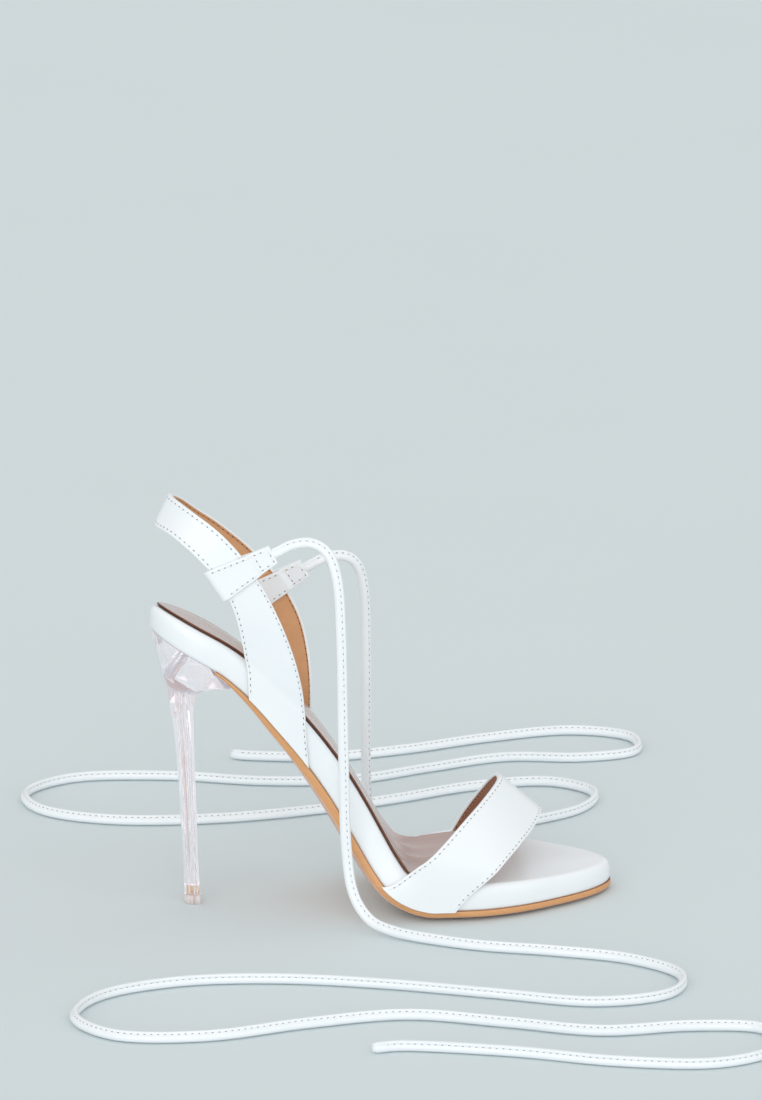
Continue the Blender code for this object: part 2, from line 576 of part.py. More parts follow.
def make_keeper(name, station, tilt, finish, collection):
    """A strip folded round the sling, whose two ends meet in a tab that holds the lace."""
    place = KeeperPlace(station, tilt)
    apart = STRAP_WALL / 2 + KEEPER_CLEARANCE + KEEPER_WALL / 2
    shut = (KEEPER_SLIT + KEEPER_WALL) / 2
    tab_end = place.high + KEEPER_TAB
    ramp = np.array([(0.0, 1.0), (0.25, 0.85), (0.5, 0.5), (0.75, 0.15), (1.0, 0.0)])
    outer = [(tab_end, shut), (tab_end - 0.4 * KEEPER_TAB, shut)]
    for share, open_share in ramp[::-1]:
        ahead = place.high + KEEPER_CLEARANCE + share * KEEPER_CLOSING
        outer.append((ahead, shut + open_share * (apart - shut)))
    outer += [(place.low + share * (place.high - place.low), apart) for share in (0.8, 0.6, 0.4, 0.2)]
    turn = np.radians(np.linspace(90, 270, 7))
    fold = [(place.low + apart * math.cos(angle), apart * math.sin(angle)) for angle in turn]
    inner = [(ahead, -offset) for ahead, offset in reversed(outer)]
    path = np.array(outer + fold + inner)
    widths = np.interp(path[:, 0], (place.low, tab_end), (KEEPER_WIDTH, KEEPER_TAB_WIDTH))
    grid = []
    for spread in np.linspace(-0.5, 0.5, 4):
        along = spread * widths
        grid.append(place.point(place.leaned(path[:, 0], along, tab_end), along, path[:, 1]))
    mesh = strap_mesh(name, np.stack(grid, axis=0))
    return add_wall(add_piece(name, mesh, finish, collection), KEEPER_WALL, offset=0.0)


def heel_half(run):
    return bed_value("half", run) * BALL_WIDTH - HEEL_INSET


def heel_grids():
    """The heel's top under the seat, and its rings from there down to the tip."""
    lip_run = np.interp(HEEL_CUP_LENGTH - HEEL_OVERHANG, bed_x, bed_run)
    step_runs = (OUTSOLE_START - 2 * SOLE_STEP, OUTSOLE_START - SOLE_STEP)
    back_runs = HEEL_INSET + (1 - np.cos(np.linspace(0, math.pi / 2, HEEL_STEPS))) * (step_runs[0] - HEEL_INSET)
    runs = np.array([*back_runs, step_runs[1], (step_runs[1] + lip_run) / 2, lip_run])
    shares = (runs - HEEL_INSET) / (lip_run - HEEL_INSET)
    spreads = np.linspace(-1, 1, HEEL_ACROSS + 1)
    halves = heel_half(runs) * rounding(runs - HEEL_INSET, HEEL_ROUND - HEEL_INSET, 2)
    under_sole = np.clip((runs - OUTSOLE_START) / SOLE_STEP + 2, 0, 1)
    centre = bed_value("centre", runs) * BALL_WIDTH
    top = []
    for spread in spreads:
        across = halves * spread / np.maximum(full_half(runs), MEETING)
        depth = GAP + under_sole * outsole_depth(runs, across)
        top.append(bed_point(runs, across, centre + halves * spread, -depth))
    top = np.stack(top, axis=1)

    def ring(side_points, front_points):
        outer, inner = side_points
        return np.concatenate([outer, front_points[1:-1], inner[::-1][:-1]])

    rings = [ring((top[:, 0], top[:, -1]), top[-1])]
    seat_height = bed_z[0]
    stem = (-STEM_DEPTH / 2 / HEEL_CUP_LENGTH, (TIP_HEIGHT + GAP) / seat_height)
    last = (*stem, -stem[0], stem[1], 0.0, STEM_ROUND, 0.0)
    for back, back_up, front, front_up, width, round_share, hollow in (*HEEL_SECTIONS, last):
        low = np.array([back * HEEL_CUP_LENGTH, 0, back_up * seat_height])
        high = np.array([front * HEEL_CUP_LENGTH, 0, front_up * seat_height])
        half = STEM_WIDTH / 2 + width * (heel_half(runs) - STEM_WIDTH / 2)
        half = half * rounding(shares, round_share, 2)
        sides = [low + shares[:, None] * (high - low) + np.outer(half, (0, way, 0)) for way in (-1, 1)]
        inset = 1 - hollow * (1 - spreads ** 2)
        face = low + inset[:, None] * (high - low) + np.outer(half[-1] * spreads, (0, 1, 0))
        rings.append(ring(sides, face))
    return top, np.array(rings)


def cut(thing, cutter):
    hole = thing.modifiers.new("Bore", "BOOLEAN")
    hole.object = cutter
    hole.solver = "EXACT"


def add_cylinder(name, radius, low, high, collection, finish=None, sides=16):
    """A cylinder between two points."""
    low, high = np.array(low), np.array(high)
    form = bmesh.new()
    bmesh.ops.create_cone(form, cap_ends=True, segments=sides, radius1=radius, radius2=radius,
                          depth=float(np.linalg.norm(high - low)))
    turn = Vector(high - low).to_track_quat("Z", "Y").to_matrix().to_4x4()
    bmesh.ops.transform(form, verts=form.verts, matrix=Matrix.Translation(Vector((low + high) / 2)) @ turn)
    mesh = bpy.data.meshes.new(name)
    form.to_mesh(mesh)
    form.free()
    mesh.shade_smooth()
    mesh.set_sharp_from_angle(angle=math.radians(SHARP_ANGLE))
    thing = bpy.data.objects.new(name, mesh)
    collection.objects.link(thing)
    if finish:
        mesh.materials.append(finish)
    else:
        thing.hide_render = True
        thing.display_type = "WIRE"
    return thing


def seat_point(depth):
    """A point square below the footbed's underside, on the line of the heel screw."""
    slope = np.interp(SCREW_PLACE, bed_run, bed_slope)
    depth = depth - side_lift(SCREW_PLACE, 0)
    x = np.interp(SCREW_PLACE, bed_run, bed_x) + math.sin(slope) * depth
    z = np.interp(SCREW_PLACE, bed_run, bed_z) - math.cos(slope) * depth
    return (x, 0, z)


def make_heel(finish, steel, collection, cutters):
    """The clear heel: a cup under the seat that runs down into a thin stem, bored for its screw and tip pin."""
    top, rings = heel_grids()
    form = bmesh.new()
    add_grid(form, top)
    add_grid(form, rings, closed_round=True, cap_last=True)
    heel = add_piece("heel", finished_mesh("heel", form), finish, collection)
    foot = TIP_HEIGHT + GAP
    cut(heel, add_cylinder("pin_bore", PIN_RADIUS + GAP, (0, 0, foot - TIP_HEIGHT / 2),
                           (0, 0, foot + PIN_HEIGHT + GAP), cutters))
    add_cylinder("tip_pin", PIN_RADIUS, (0, 0, foot), (0, 0, foot + PIN_HEIGHT), collection, steel)
    cut(heel, add_cylinder("screw_bore", SCREW_RADIUS + GAP, seat_point(-TIP_HEIGHT / 2),
                           seat_point(GAP + SCREW_LENGTH + GAP), cutters))
    add_cylinder("heel_screw", SCREW_RADIUS, seat_point(GAP), seat_point(GAP + SCREW_LENGTH), collection, steel)
    return heel


def make_tip(finish, collection):
    """The top lift under the stem, on which the heel stands."""
    rings = heel_grids()[1]
    base = rings[-1]
    levels = ((0.0, TIP_EDGE), (TIP_EDGE, 0.0), (TIP_HEIGHT, 0.0))
    spread = np.abs(base).max(axis=0)[:2]
    grid = [np.column_stack([base[:, :2] * (1 - inset / spread), np.full(len(base), z)]) for z, inset in levels]
    form = bmesh.new()
    add_grid(form, np.array(grid), closed_round=True, cap_first=True, cap_last=True)
    return add_piece("heel_tip", finished_mesh("heel_tip", form), finish, collection)


def make_lace(name, route, finish, collection):
    """A limp folded cord, from its keeper's tab to where it lies on the floor."""
    line = evenly(curve_through(route), LACE_POINTS)
    curve = bpy.data.curves.new(name, "CURVE")
    curve.dimensions = "3D"
    curve.bevel_depth = LACE_DIAMETER / 2
    curve.bevel_resolution = 2
    curve.use_fill_caps = True
    spline = curve.splines.new("POLY")
    spline.points.add(len(line) - 1)
    for spot, place in zip(spline.points, line):
        spot.co = (*place, 1)
    thing = bpy.data.objects.new(name, curve)
    collection.objects.link(thing)
    curve.materials.append(finish)
    return thing


clear_scene()
parts = new_collection("lace_up_heeled_sandal")
cutters = new_collection("cutters")
white = material("white_leather", (0.84, 0.86, 0.88), 0.35)
lining = material("lining_leather", (0.46, 0.35, 0.30), 0.3)
tan = material("tan_sole", (0.66, 0.35, 0.16), 0.45)
clear = material("clear_plastic", (0.95, 0.90, 0.92), 0.06, transmission=1.0)
steel = material("fastener_metal", (0.72, 0.62, 0.45), 0.3, metallic=1.0)
make_footbed(white, parts)
make_outsole(tan, parts)
make_sock(lining, parts)
make_toe_strap(white, parts)
make_ankle_strap(white, parts)
make_keeper("keeper_outer", KEEPER_OUTER_STATION, KEEPER_OUTER_TILT, white, parts)
make_keeper("keeper_inner", KEEPER_INNER_STATION, KEEPER_INNER_TILT, white, parts)
make_heel(clear, steel, parts, cutters)
make_tip(clear, parts)
make_lace("lace_outer", LACE_OUTER_ROUTE, white, parts)
make_lace("lace_inner", LACE_INNER_ROUTE, white, parts)
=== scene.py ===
"""White lace up sandal for the right foot on a clear stiletto heel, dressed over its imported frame."""
import math

import bmesh
import bpy
import numpy as np
from mathutils import Matrix, Vector
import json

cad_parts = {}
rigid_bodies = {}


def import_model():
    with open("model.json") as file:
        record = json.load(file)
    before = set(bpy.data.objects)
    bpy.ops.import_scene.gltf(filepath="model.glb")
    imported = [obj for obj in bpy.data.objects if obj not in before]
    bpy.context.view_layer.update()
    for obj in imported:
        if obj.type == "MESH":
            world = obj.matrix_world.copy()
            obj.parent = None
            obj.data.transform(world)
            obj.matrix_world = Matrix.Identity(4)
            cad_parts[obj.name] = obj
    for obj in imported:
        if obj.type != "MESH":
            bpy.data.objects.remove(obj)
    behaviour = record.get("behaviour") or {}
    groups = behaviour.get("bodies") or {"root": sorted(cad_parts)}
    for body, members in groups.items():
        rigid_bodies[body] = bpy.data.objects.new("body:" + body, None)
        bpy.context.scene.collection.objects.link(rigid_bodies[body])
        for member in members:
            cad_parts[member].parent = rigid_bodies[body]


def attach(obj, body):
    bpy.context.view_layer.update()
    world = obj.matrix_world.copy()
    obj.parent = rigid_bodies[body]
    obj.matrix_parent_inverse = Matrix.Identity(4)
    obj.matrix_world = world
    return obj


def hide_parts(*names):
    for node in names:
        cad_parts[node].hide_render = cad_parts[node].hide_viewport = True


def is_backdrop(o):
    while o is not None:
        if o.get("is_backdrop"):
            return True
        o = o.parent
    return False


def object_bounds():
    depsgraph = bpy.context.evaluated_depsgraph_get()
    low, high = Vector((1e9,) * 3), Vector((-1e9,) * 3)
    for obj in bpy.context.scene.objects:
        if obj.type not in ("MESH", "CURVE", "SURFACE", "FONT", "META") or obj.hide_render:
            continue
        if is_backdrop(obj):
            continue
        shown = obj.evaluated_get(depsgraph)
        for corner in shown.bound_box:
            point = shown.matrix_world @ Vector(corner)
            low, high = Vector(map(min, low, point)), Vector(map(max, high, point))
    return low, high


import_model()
cad_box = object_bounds()
for thing in bpy.context.selected_objects:
    thing.select_set(False)


def placed(name, data):
    """A new object in the scene with this data."""
    thing = bpy.data.objects.new(name, data)
    bpy.context.scene.collection.objects.link(thing)
    return thing


# Camera. It looks at the outer side of the shoe from a little behind square and 15 degrees up,
# through a long lens, as the photograph does.
camera_data = bpy.data.cameras.new("camera")
camera_data.sensor_width = 36
camera_data.lens = 201.40
camera_data.clip_end = 60
camera = placed("camera", camera_data)
CAMERA_PLACE = (-0.179074, -2.467714, 0.816582)
CAMERA_AXES = (
    (0.994522, -0.104528, 0), (0.027054, 0.257401, 0.965926), (-0.100966, -0.960634, 0.258819),
)
camera.matrix_world = Matrix.Translation(CAMERA_PLACE) @ Matrix(CAMERA_AXES).transposed().to_4x4()
bpy.context.scene.camera = camera


# Ankle ties. Each is a strip of coated leather folded round a cord and stitched shut along a narrow flange,
# 4.5 mm wide over all. One starts in each keeper's tab, and both lie on the floor in loose bends.
LACE_LIE = 0.0026          # height of its middle where it lies on the floor
# Each route runs from the keeper. Its points with x and y alone lie on the floor.
LACE_OUTER_ROUTE = (
    (0.0333, -0.0253, 0.1582), (0.0415, -0.0250, 0.1618), (0.0496, -0.0262, 0.1622),
    (0.0560, -0.0288, 0.1572), (0.0592, -0.0316, 0.1450), (0.0602, -0.0337, 0.1230),
    (0.0606, -0.0350, 0.0950), (0.0610, -0.0362, 0.0650), (0.0616, -0.0380, 0.0370),
    (0.0638, -0.0422, 0.0170), (0.0698, -0.0492, 0.0066), (0.0790, -0.0568, 0.0034), (0.0940, -0.0665),
    (0.1150, -0.0775), (0.1420, -0.0865), (0.1720, -0.1000), (0.1900, -0.1220), (0.1810, -0.1450),
    (0.1500, -0.1510), (0.1120, -0.1370), (0.0700, -0.1210), (0.0280, -0.1100), (-0.0120, -0.1090),
    (-0.0450, -0.1220), (-0.0580, -0.1480), (-0.0420, -0.1720), (-0.0060, -0.1760), (0.0340, -0.1650),
    (0.0740, -0.1590), (0.1120, -0.1720), (0.1480, -0.1860), (0.1840, -0.1840), (0.2120, -0.1900),
    (0.2140, -0.2140), (0.1880, -0.2280), (0.1500, -0.2220), (0.1120, -0.2070), (0.0720, -0.1960),
    (0.0560, -0.1970),
)
LACE_INNER_ROUTE = (
    (0.0511, 0.0268, 0.1378), (0.0592, 0.0266, 0.1418), (0.0672, 0.0276, 0.1424),
    (0.0734, 0.0300, 0.1374), (0.0766, 0.0330, 0.1250), (0.0776, 0.0362, 0.1040),
    (0.0780, 0.0394, 0.0780), (0.0782, 0.0418, 0.0520), (0.0790, 0.0442, 0.0300),
    (0.0818, 0.0484, 0.0140), (0.0880, 0.0548, 0.0060), (0.0975, 0.0622, 0.0032), (0.1120, 0.0712),
    (0.1300, 0.0796), (0.1540, 0.0895), (0.1800, 0.1060), (0.1890, 0.1300), (0.1700, 0.1480),
    (0.1360, 0.1440), (0.0980, 0.1280), (0.0580, 0.1150), (0.0160, 0.1080), (-0.0260, 0.1110),
    (-0.0560, 0.1280), (-0.0620, 0.1560), (-0.0380, 0.1760), (0.0040, 0.1740), (0.0440, 0.1620),
    (0.0840, 0.1600), (0.1200, 0.1740), (0.1560, 0.1870), (0.1900, 0.1830), (0.2160, 0.1900),
    (0.2170, 0.2140), (0.1900, 0.2260), (0.1520, 0.2180), (0.1140, 0.2040), (0.0780, 0.1960),
    (0.0460, 0.2000), (0.0330, 0.2045),
)
LACE_LENGTH = 1.10
LACE_STEP = 0.0022
LACE_HELD = 0.0022         # of its end, pinched between the tab's two layers
LACE_PINCH = 0.5           # what is left of its thickness there
LACE_CUT_END = 0.72        # size of its bare end against the rest
SEAM_UP = 0.00110          # the stitched groove lies this far above the lace's middle
SEAM_OUT = 0.00082         # and this far to each side of it
SEAM_START = 0.004
# Half of the lace's section: half thickness and height, from the round belly up to the stitched flange
LACE_PROFILE = (
    (0.0, -0.00225), (0.00095, -0.0020), (0.0016, -0.00135), (0.0018, -0.0005), (0.0016, 0.0003),
    (0.00112, 0.00082), (0.00080, 0.00110), (0.00088, 0.00145), (0.00084, 0.0019), (0.00048, 0.0022),
    (0.0, 0.00227),
)
STITCH_PITCH = 0.0027
STITCH_LENGTH = 0.0019
STITCH_WIDTH = 0.00045
STITCH_SIDES = 5
# Rings of a stitch: place as a share of its length, size as a share of its width
STITCH_RINGS = ((-0.5, 0.4), (-0.3, 1), (0.3, 1), (0.5, 0.4))
STITCH_LOOK = 0.0006       # step ahead along the line that gives a stitch its way
HOLE_LENGTH = 0.0011
HOLE_CORNERS = 6
HOLE_PROUD = 0.00005       # the hole's dark patch lies this far above the leather
SMOOTH_STEPS = 12
MEETING = 1e-7             # points this close are one
MM = 0.001


def filled(rows, slopes, steps=SMOOTH_STEPS):
    """A table with each gap filled by a cubic span along its first column."""
    found = []
    for low, high, start, end in zip(rows, rows[1:], slopes, slopes[1:]):
        gap = high[0] - low[0]
        for t in np.arange(steps) / steps:
            found.append(
                (1 + 2 * t) * (1 - t) ** 2 * low + t * (1 - t) ** 2 * gap * start
                + t * t * (3 - 2 * t) * high + t * t * (t - 1) * gap * end
            )
    found.append(rows[-1])
    return np.array(found)


def curve_through(rows, steps=SMOOTH_STEPS):
    """A smooth curve through rows of points or sections."""
    numbered = np.column_stack([np.arange(len(rows)), np.array(rows, float)])
    return filled(numbered, np.gradient(numbered, axis=0), steps)[:, 1:]


def run_along(points):
    """Distance along a line to each of its points."""
    return np.concatenate([[0], np.cumsum(np.linalg.norm(np.diff(points, axis=0), axis=1))])


def at_places(places, run, rows):
    """The columns of rows at places along the run."""
    return np.column_stack([np.interp(places, run, column) for column in rows.T])


def evenly(points, count):
    """The same curve with its points spaced evenly."""
    run = run_along(points)
    return at_places(np.linspace(0, run[-1], count), run, points)


def linear(code):
    """The linear values of a colour given as an sRGB hex code."""
    values = [int(code[place:place + 2], 16) / 255 for place in (1, 3, 5)]
    return (*[v / 12.92 if v <= 0.04045 else ((v + 0.055) / 1.055) ** 2.4 for v in values], 1)


def add_node(tree, kind, settings, links=()):
    """Adds a node with its settings, and links of input name, source node and output name."""
    node = tree.nodes.new(kind)
    for name, value in settings.items():
        if name in node.inputs:
            node.inputs[name].default_value = value
        else:
            setattr(node, name, value)
    for name, source, output in links:
        tree.links.new(source.outputs[output], node.inputs[name])
    return node


def new_material(name, settings):
    """A material whose Principled shader has these settings, with its tree and shader."""
    made = bpy.data.materials.new(name)
    made.use_nodes = True
    shader = made.node_tree.nodes["Principled BSDF"]
    for key, value in settings.items():
        shader.inputs[key].default_value = value
    return made, made.node_tree, shader


def texture(tree, kind, settings):
    """A texture laid through the shoe in its own space."""
    place = add_node(tree, "ShaderNodeTexCoord", {})
    return add_node(tree, "ShaderNodeTex" + kind, settings, [("Vector", place, "Object")])


def blended(tree, shader, source, dark, light):
    """Lets a texture blend the base colour between two hex codes."""
    shade = add_node(tree, "ShaderNodeMixRGB", {"Color1": linear(dark), "Color2": linear(light)},
                     [("Fac", source, "Fac")])
    tree.links.new(shade.outputs["Color"], shader.inputs["Base Color"])


def roughened(tree, shader, source, polished, dull):
    """Lets a texture vary the roughness."""
    rough = add_node(tree, "ShaderNodeMapRange", {"To Min": polished, "To Max": dull},
                     [("Value", source, "Fac")])
    tree.links.new(rough.outputs["Result"], shader.inputs["Roughness"])


def raised(tree, shader, source, output, strength, distance, below=()):
    """Lets a texture raise the surface, on top of the bump below if there is one."""
    bump = add_node(tree, "ShaderNodeBump", {"Strength": strength, "Distance": distance},
                    [("Height", source, output), *below])
    tree.links.new(bump.outputs["Normal"], shader.inputs["Normal"])
    return bump


def clouded(tree, shader, dark, light, scale, detail=2.0):
    """Lets the base colour drift between two hex codes in soft clouds."""
    blended(tree, shader, texture(tree, "Noise", {"Scale": scale, "Detail": detail}), dark, light)


def grained(tree, shader, scale, strength, distance, feature="F1"):
    """Raises a grain of small rounded cells."""
    cells = texture(tree, "Voronoi", {"Scale": scale, "feature": feature})
    return raised(tree, shader, cells, "Distance", strength, distance)


def twisted(tree, shader, wobble):
    """Raises the slanting bands of a thread's plies."""
    twist = texture(tree, "Wave", {"Scale": 900.0, "Distortion": wobble})
    raised(tree, shader, twist, "Fac", 0.3, 0.00005)


def unit(vectors):
    """The same ways, each 1 long."""
    return vectors / np.maximum(np.linalg.norm(vectors, axis=-1, keepdims=True), 1e-12)


def new_piece(name, mesh, materials, node=None):
    """Links a mesh as a piece that rides with the shoe."""
    thing = placed(name, mesh)
    for made in materials:
        mesh.materials.append(made)
    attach(thing, "root")
    if node:
        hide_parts(node)
    return thing


def new_mesh(name, points, faces, kinds):
    """A mesh with the number of a material for each face."""
    mesh = bpy.data.meshes.new(name)
    mesh.from_pydata(np.array(points).tolist(), [], faces)
    mesh.polygons.foreach_set("material_index", np.array(kinds, np.int32))
    return mesh


def grid_mesh(name, grid, closed_round=False, cap_first=False, cap_last=False, looks=None, marks=None):
    """A smooth mesh over a grid of points, with a material for each column and a UV for each point."""
    rows, columns = grid.shape[:2]
    last = columns if closed_round else columns - 1
    faces = []
    kinds = []
    for row in range(rows - 1):
        for column in range(last):
            after = (column + 1) % columns
            low, high = row * columns, (row + 1) * columns
            faces.append((low + column, low + after, high + after, high + column))
            kinds.append(looks[column] if looks is not None else 0)
    for wanted, row in ((cap_first, 0), (cap_last, rows - 1)):
        if wanted:
            faces.append(tuple(range(row * columns, (row + 1) * columns)))
            kinds.append(looks[0] if looks is not None else 0)
    mesh = new_mesh(name, grid.reshape(-1, 3), faces, kinds)
    if marks is not None:
        layer = mesh.uv_layers.new(name="along")
        corners = np.empty(len(mesh.loops), np.int32)
        mesh.loops.foreach_get("vertex_index", corners)
        layer.data.foreach_set("uv", marks.reshape(-1, 2)[corners].astype(np.float32).ravel())
    form = bmesh.new()
    form.from_mesh(mesh)
    bmesh.ops.remove_doubles(form, verts=form.verts, dist=MEETING)
    if closed_round:
        bmesh.ops.recalc_face_normals(form, faces=form.faces)
    form.to_mesh(mesh)
    form.free()
    mesh.shade_smooth()
    return mesh


def thread_mesh(name, spots, ways, outs):
    """Threads in rows, each a short rounded bar half sunk in the leather, with a pinhole after it."""
    sides = np.cross(ways, outs)
    points = []
    faces = []
    kinds = []
    angles = np.linspace(0, 2 * math.pi, STITCH_SIDES + 1)[:-1]
    last_ring = (len(STITCH_RINGS) - 1) * STITCH_SIDES
    for spot, way, out, side in zip(spots, ways, outs, sides):
        first = len(points)
        for share, size in STITCH_RINGS:
            for angle in angles:
                turned = side * math.cos(angle) + out * (0.25 + 0.75 * math.sin(angle))
                points.append(spot + way * share * STITCH_LENGTH + turned * size * STITCH_WIDTH / 2)
        for low in range(first, first + last_ring, STITCH_SIDES):
            high = low + STITCH_SIDES
            for corner in range(STITCH_SIDES):
                after = (corner + 1) % STITCH_SIDES
                faces.append((low + corner, low + after, high + after, high + corner))
        faces.append(tuple(first + corner for corner in reversed(range(STITCH_SIDES))))
        faces.append(tuple(first + last_ring + corner for corner in range(STITCH_SIDES)))
        kinds += [0] * (last_ring + 2)
        first = len(points)
        middle = spot + way * STITCH_PITCH / 2 + out * HOLE_PROUD
        for angle in np.linspace(0, 2 * math.pi, HOLE_CORNERS + 1)[:-1]:
            reach = way * math.cos(angle) * HOLE_LENGTH + side * math.sin(angle) * STITCH_WIDTH
            points.append(middle + reach / 2)
        faces.append(tuple(first + corner for corner in range(HOLE_CORNERS)))
        kinds.append(1)
    mesh = new_mesh(name, points, faces, kinds)
    mesh.shade_smooth()
    return mesh


def stitch_places(points, outs, end=0.0):
    """Middles of the stitches along a line on the leather, with their ways along it and out of it."""
    run = run_along(points)
    places = np.arange(end + STITCH_PITCH / 2, run[-1] - end - STITCH_PITCH / 2, STITCH_PITCH)
    spots = at_places(places, run, points)
    out = unit(at_places(places, run, outs))
    way = unit(at_places(places + STITCH_LOOK, run, points) - spots)
    return spots, way, unit(out - way * (out * way).sum(axis=1)[:, None])


def stitched(name, rows, materials):
    """One piece of all the stitches of some rows."""
    threads = [np.concatenate(parts) for parts in zip(*rows)]
    return new_piece(name, thread_mesh(name, *threads), materials)


# Coated leather (polyurethane on fabric), embossed with a fine even grain and finished glossy satin: cool
# white, with soft wide highlights. The real grain is about 0.3 mm; it is drawn at 0.8 mm so that it shows.
white_leather, tree, shader = new_material("white_coated_leather", {
    "Roughness": 0.36, "IOR": 1.48, "Coat Weight": 0.25, "Coat Roughness": 0.22,
})
clouded(tree, shader, "#EEF4F8", "#F6FAFC", 38.0)
fine = grained(tree, shader, 1250.0, 0.16, 0.00006, "SMOOTH_F1")
wave = texture(tree, "Noise", {"Scale": 95.0, "Detail": 3.0})
raised(tree, shader, wave, "Fac", 0.35, 0.0004, [("Normal", fine, "Normal")])

# Bonded nylon thread, twisted: white and slightly lustrous, with the twist as fine slanting bands.
white_thread, tree, shader = new_material("white_nylon_thread", {
    "Base Color": linear("#F6F8F9"), "Roughness": 0.45, "IOR": 1.53, "Sheen Weight": 0.3,
})
twisted(tree, shader, 0.5)

# A needle hole's torn backing: dull grey brown, in shade.
needle_hole, tree, shader = new_material("pricked_backing", {"Roughness": 0.9})
clouded(tree, shader, "#6E6662", "#9A9490", 700.0)

half_profile = curve_through(LACE_PROFILE, 2)
profile = np.vstack([half_profile, half_profile[-2:0:-1] * (-1, 1)])
for lace_name, route in (("lace_outer", LACE_OUTER_ROUTE), ("lace_inner", LACE_INNER_ROUTE)):
    spots = [(*spot, LACE_LIE)[:3] for spot in route]
    line = evenly(curve_through(spots), int(LACE_LENGTH / LACE_STEP))
    ways = unit(np.gradient(line, axis=0))
    upright = [unit(np.array([0, 0, 1.0]) - ways[0] * ways[0][2])]
    for way in ways[1:]:
        upright.append(unit(upright[-1] - way * (upright[-1] @ way)))
    upright = np.array(upright)
    across = np.cross(ways, upright)
    rings = line[:, None] + across[:, None] * profile[:, :1] + upright[:, None] * profile[:, 1:]
    rings[-1] = line[-1] + (rings[-1] - line[-1]) * LACE_CUT_END
    held = line[0] - ways[0] * LACE_HELD + (rings[0] - line[0]) * LACE_PINCH
    rings = np.concatenate([held[None], rings])
    run = np.arange(-1, len(line)) * LACE_STEP
    round_it = np.arange(len(profile))[None] / len(profile)
    marks = np.stack(np.broadcast_arrays(run[:, None], round_it), axis=-1)
    mesh = grid_mesh(lace_name + "_tie", rings, True, True, True, marks=marks)
    tie = new_piece(lace_name + "_tie", mesh, [white_leather], lace_name)
    sewn = []
    for way_out in (1, -1):
        row = line + upright * SEAM_UP + across * way_out * SEAM_OUT
        sewn.append(stitch_places(row, across * way_out, SEAM_START))
    seam = stitched(lace_name + "_seam", sewn, [white_thread, needle_hole])


# Outsole. A thin sheet of smooth leather-look rubber from the heel's breast to the toe, cemented under the
# footbed: tan cut edge with a darker line of cement and painted join shade above it, and a paler pinkish
# underside.
BED_LENGTH = 0.1948        # seen from above, heel end to toe tip
HEEL_OVERHANG = 0.0852 * BED_LENGTH     # the seat's reach behind the heel tip's centre
HEEL_RISE = 0.1190         # seat above forefoot
TOE_SPRING = 0.0012
BALL_WIDTH = 0.0780
SIDE_LIFT = 0.0020         # how far the forefoot's long edges curve up
ARCH_RISE = 0.0033         # how far the waist's inner edge stands above its outer edge
FLAT_SHARE = 0.45          # of the half width, that stays flat on the floor
HEEL_ROUND = 0.0250
SEAT_BLEND = 0.0400        # along the sole, over which its side turns from upright to square
TOE_ROUND = 0.0620
TOE_SHARPNESS = 1.75
GAP = 0.0003
RAND_HEIGHT = 0.0113
BED_CROWN = 0.0016
OUTSOLE_THICKNESS = 0.0025
OUTSOLE_EDGE = 0.0004      # stands out past the rand
WAIST_BELLY = 0.0016
OUTSOLE_START = 0.151 * BED_LENGTH      # behind it the heel meets the footbed, along the sole
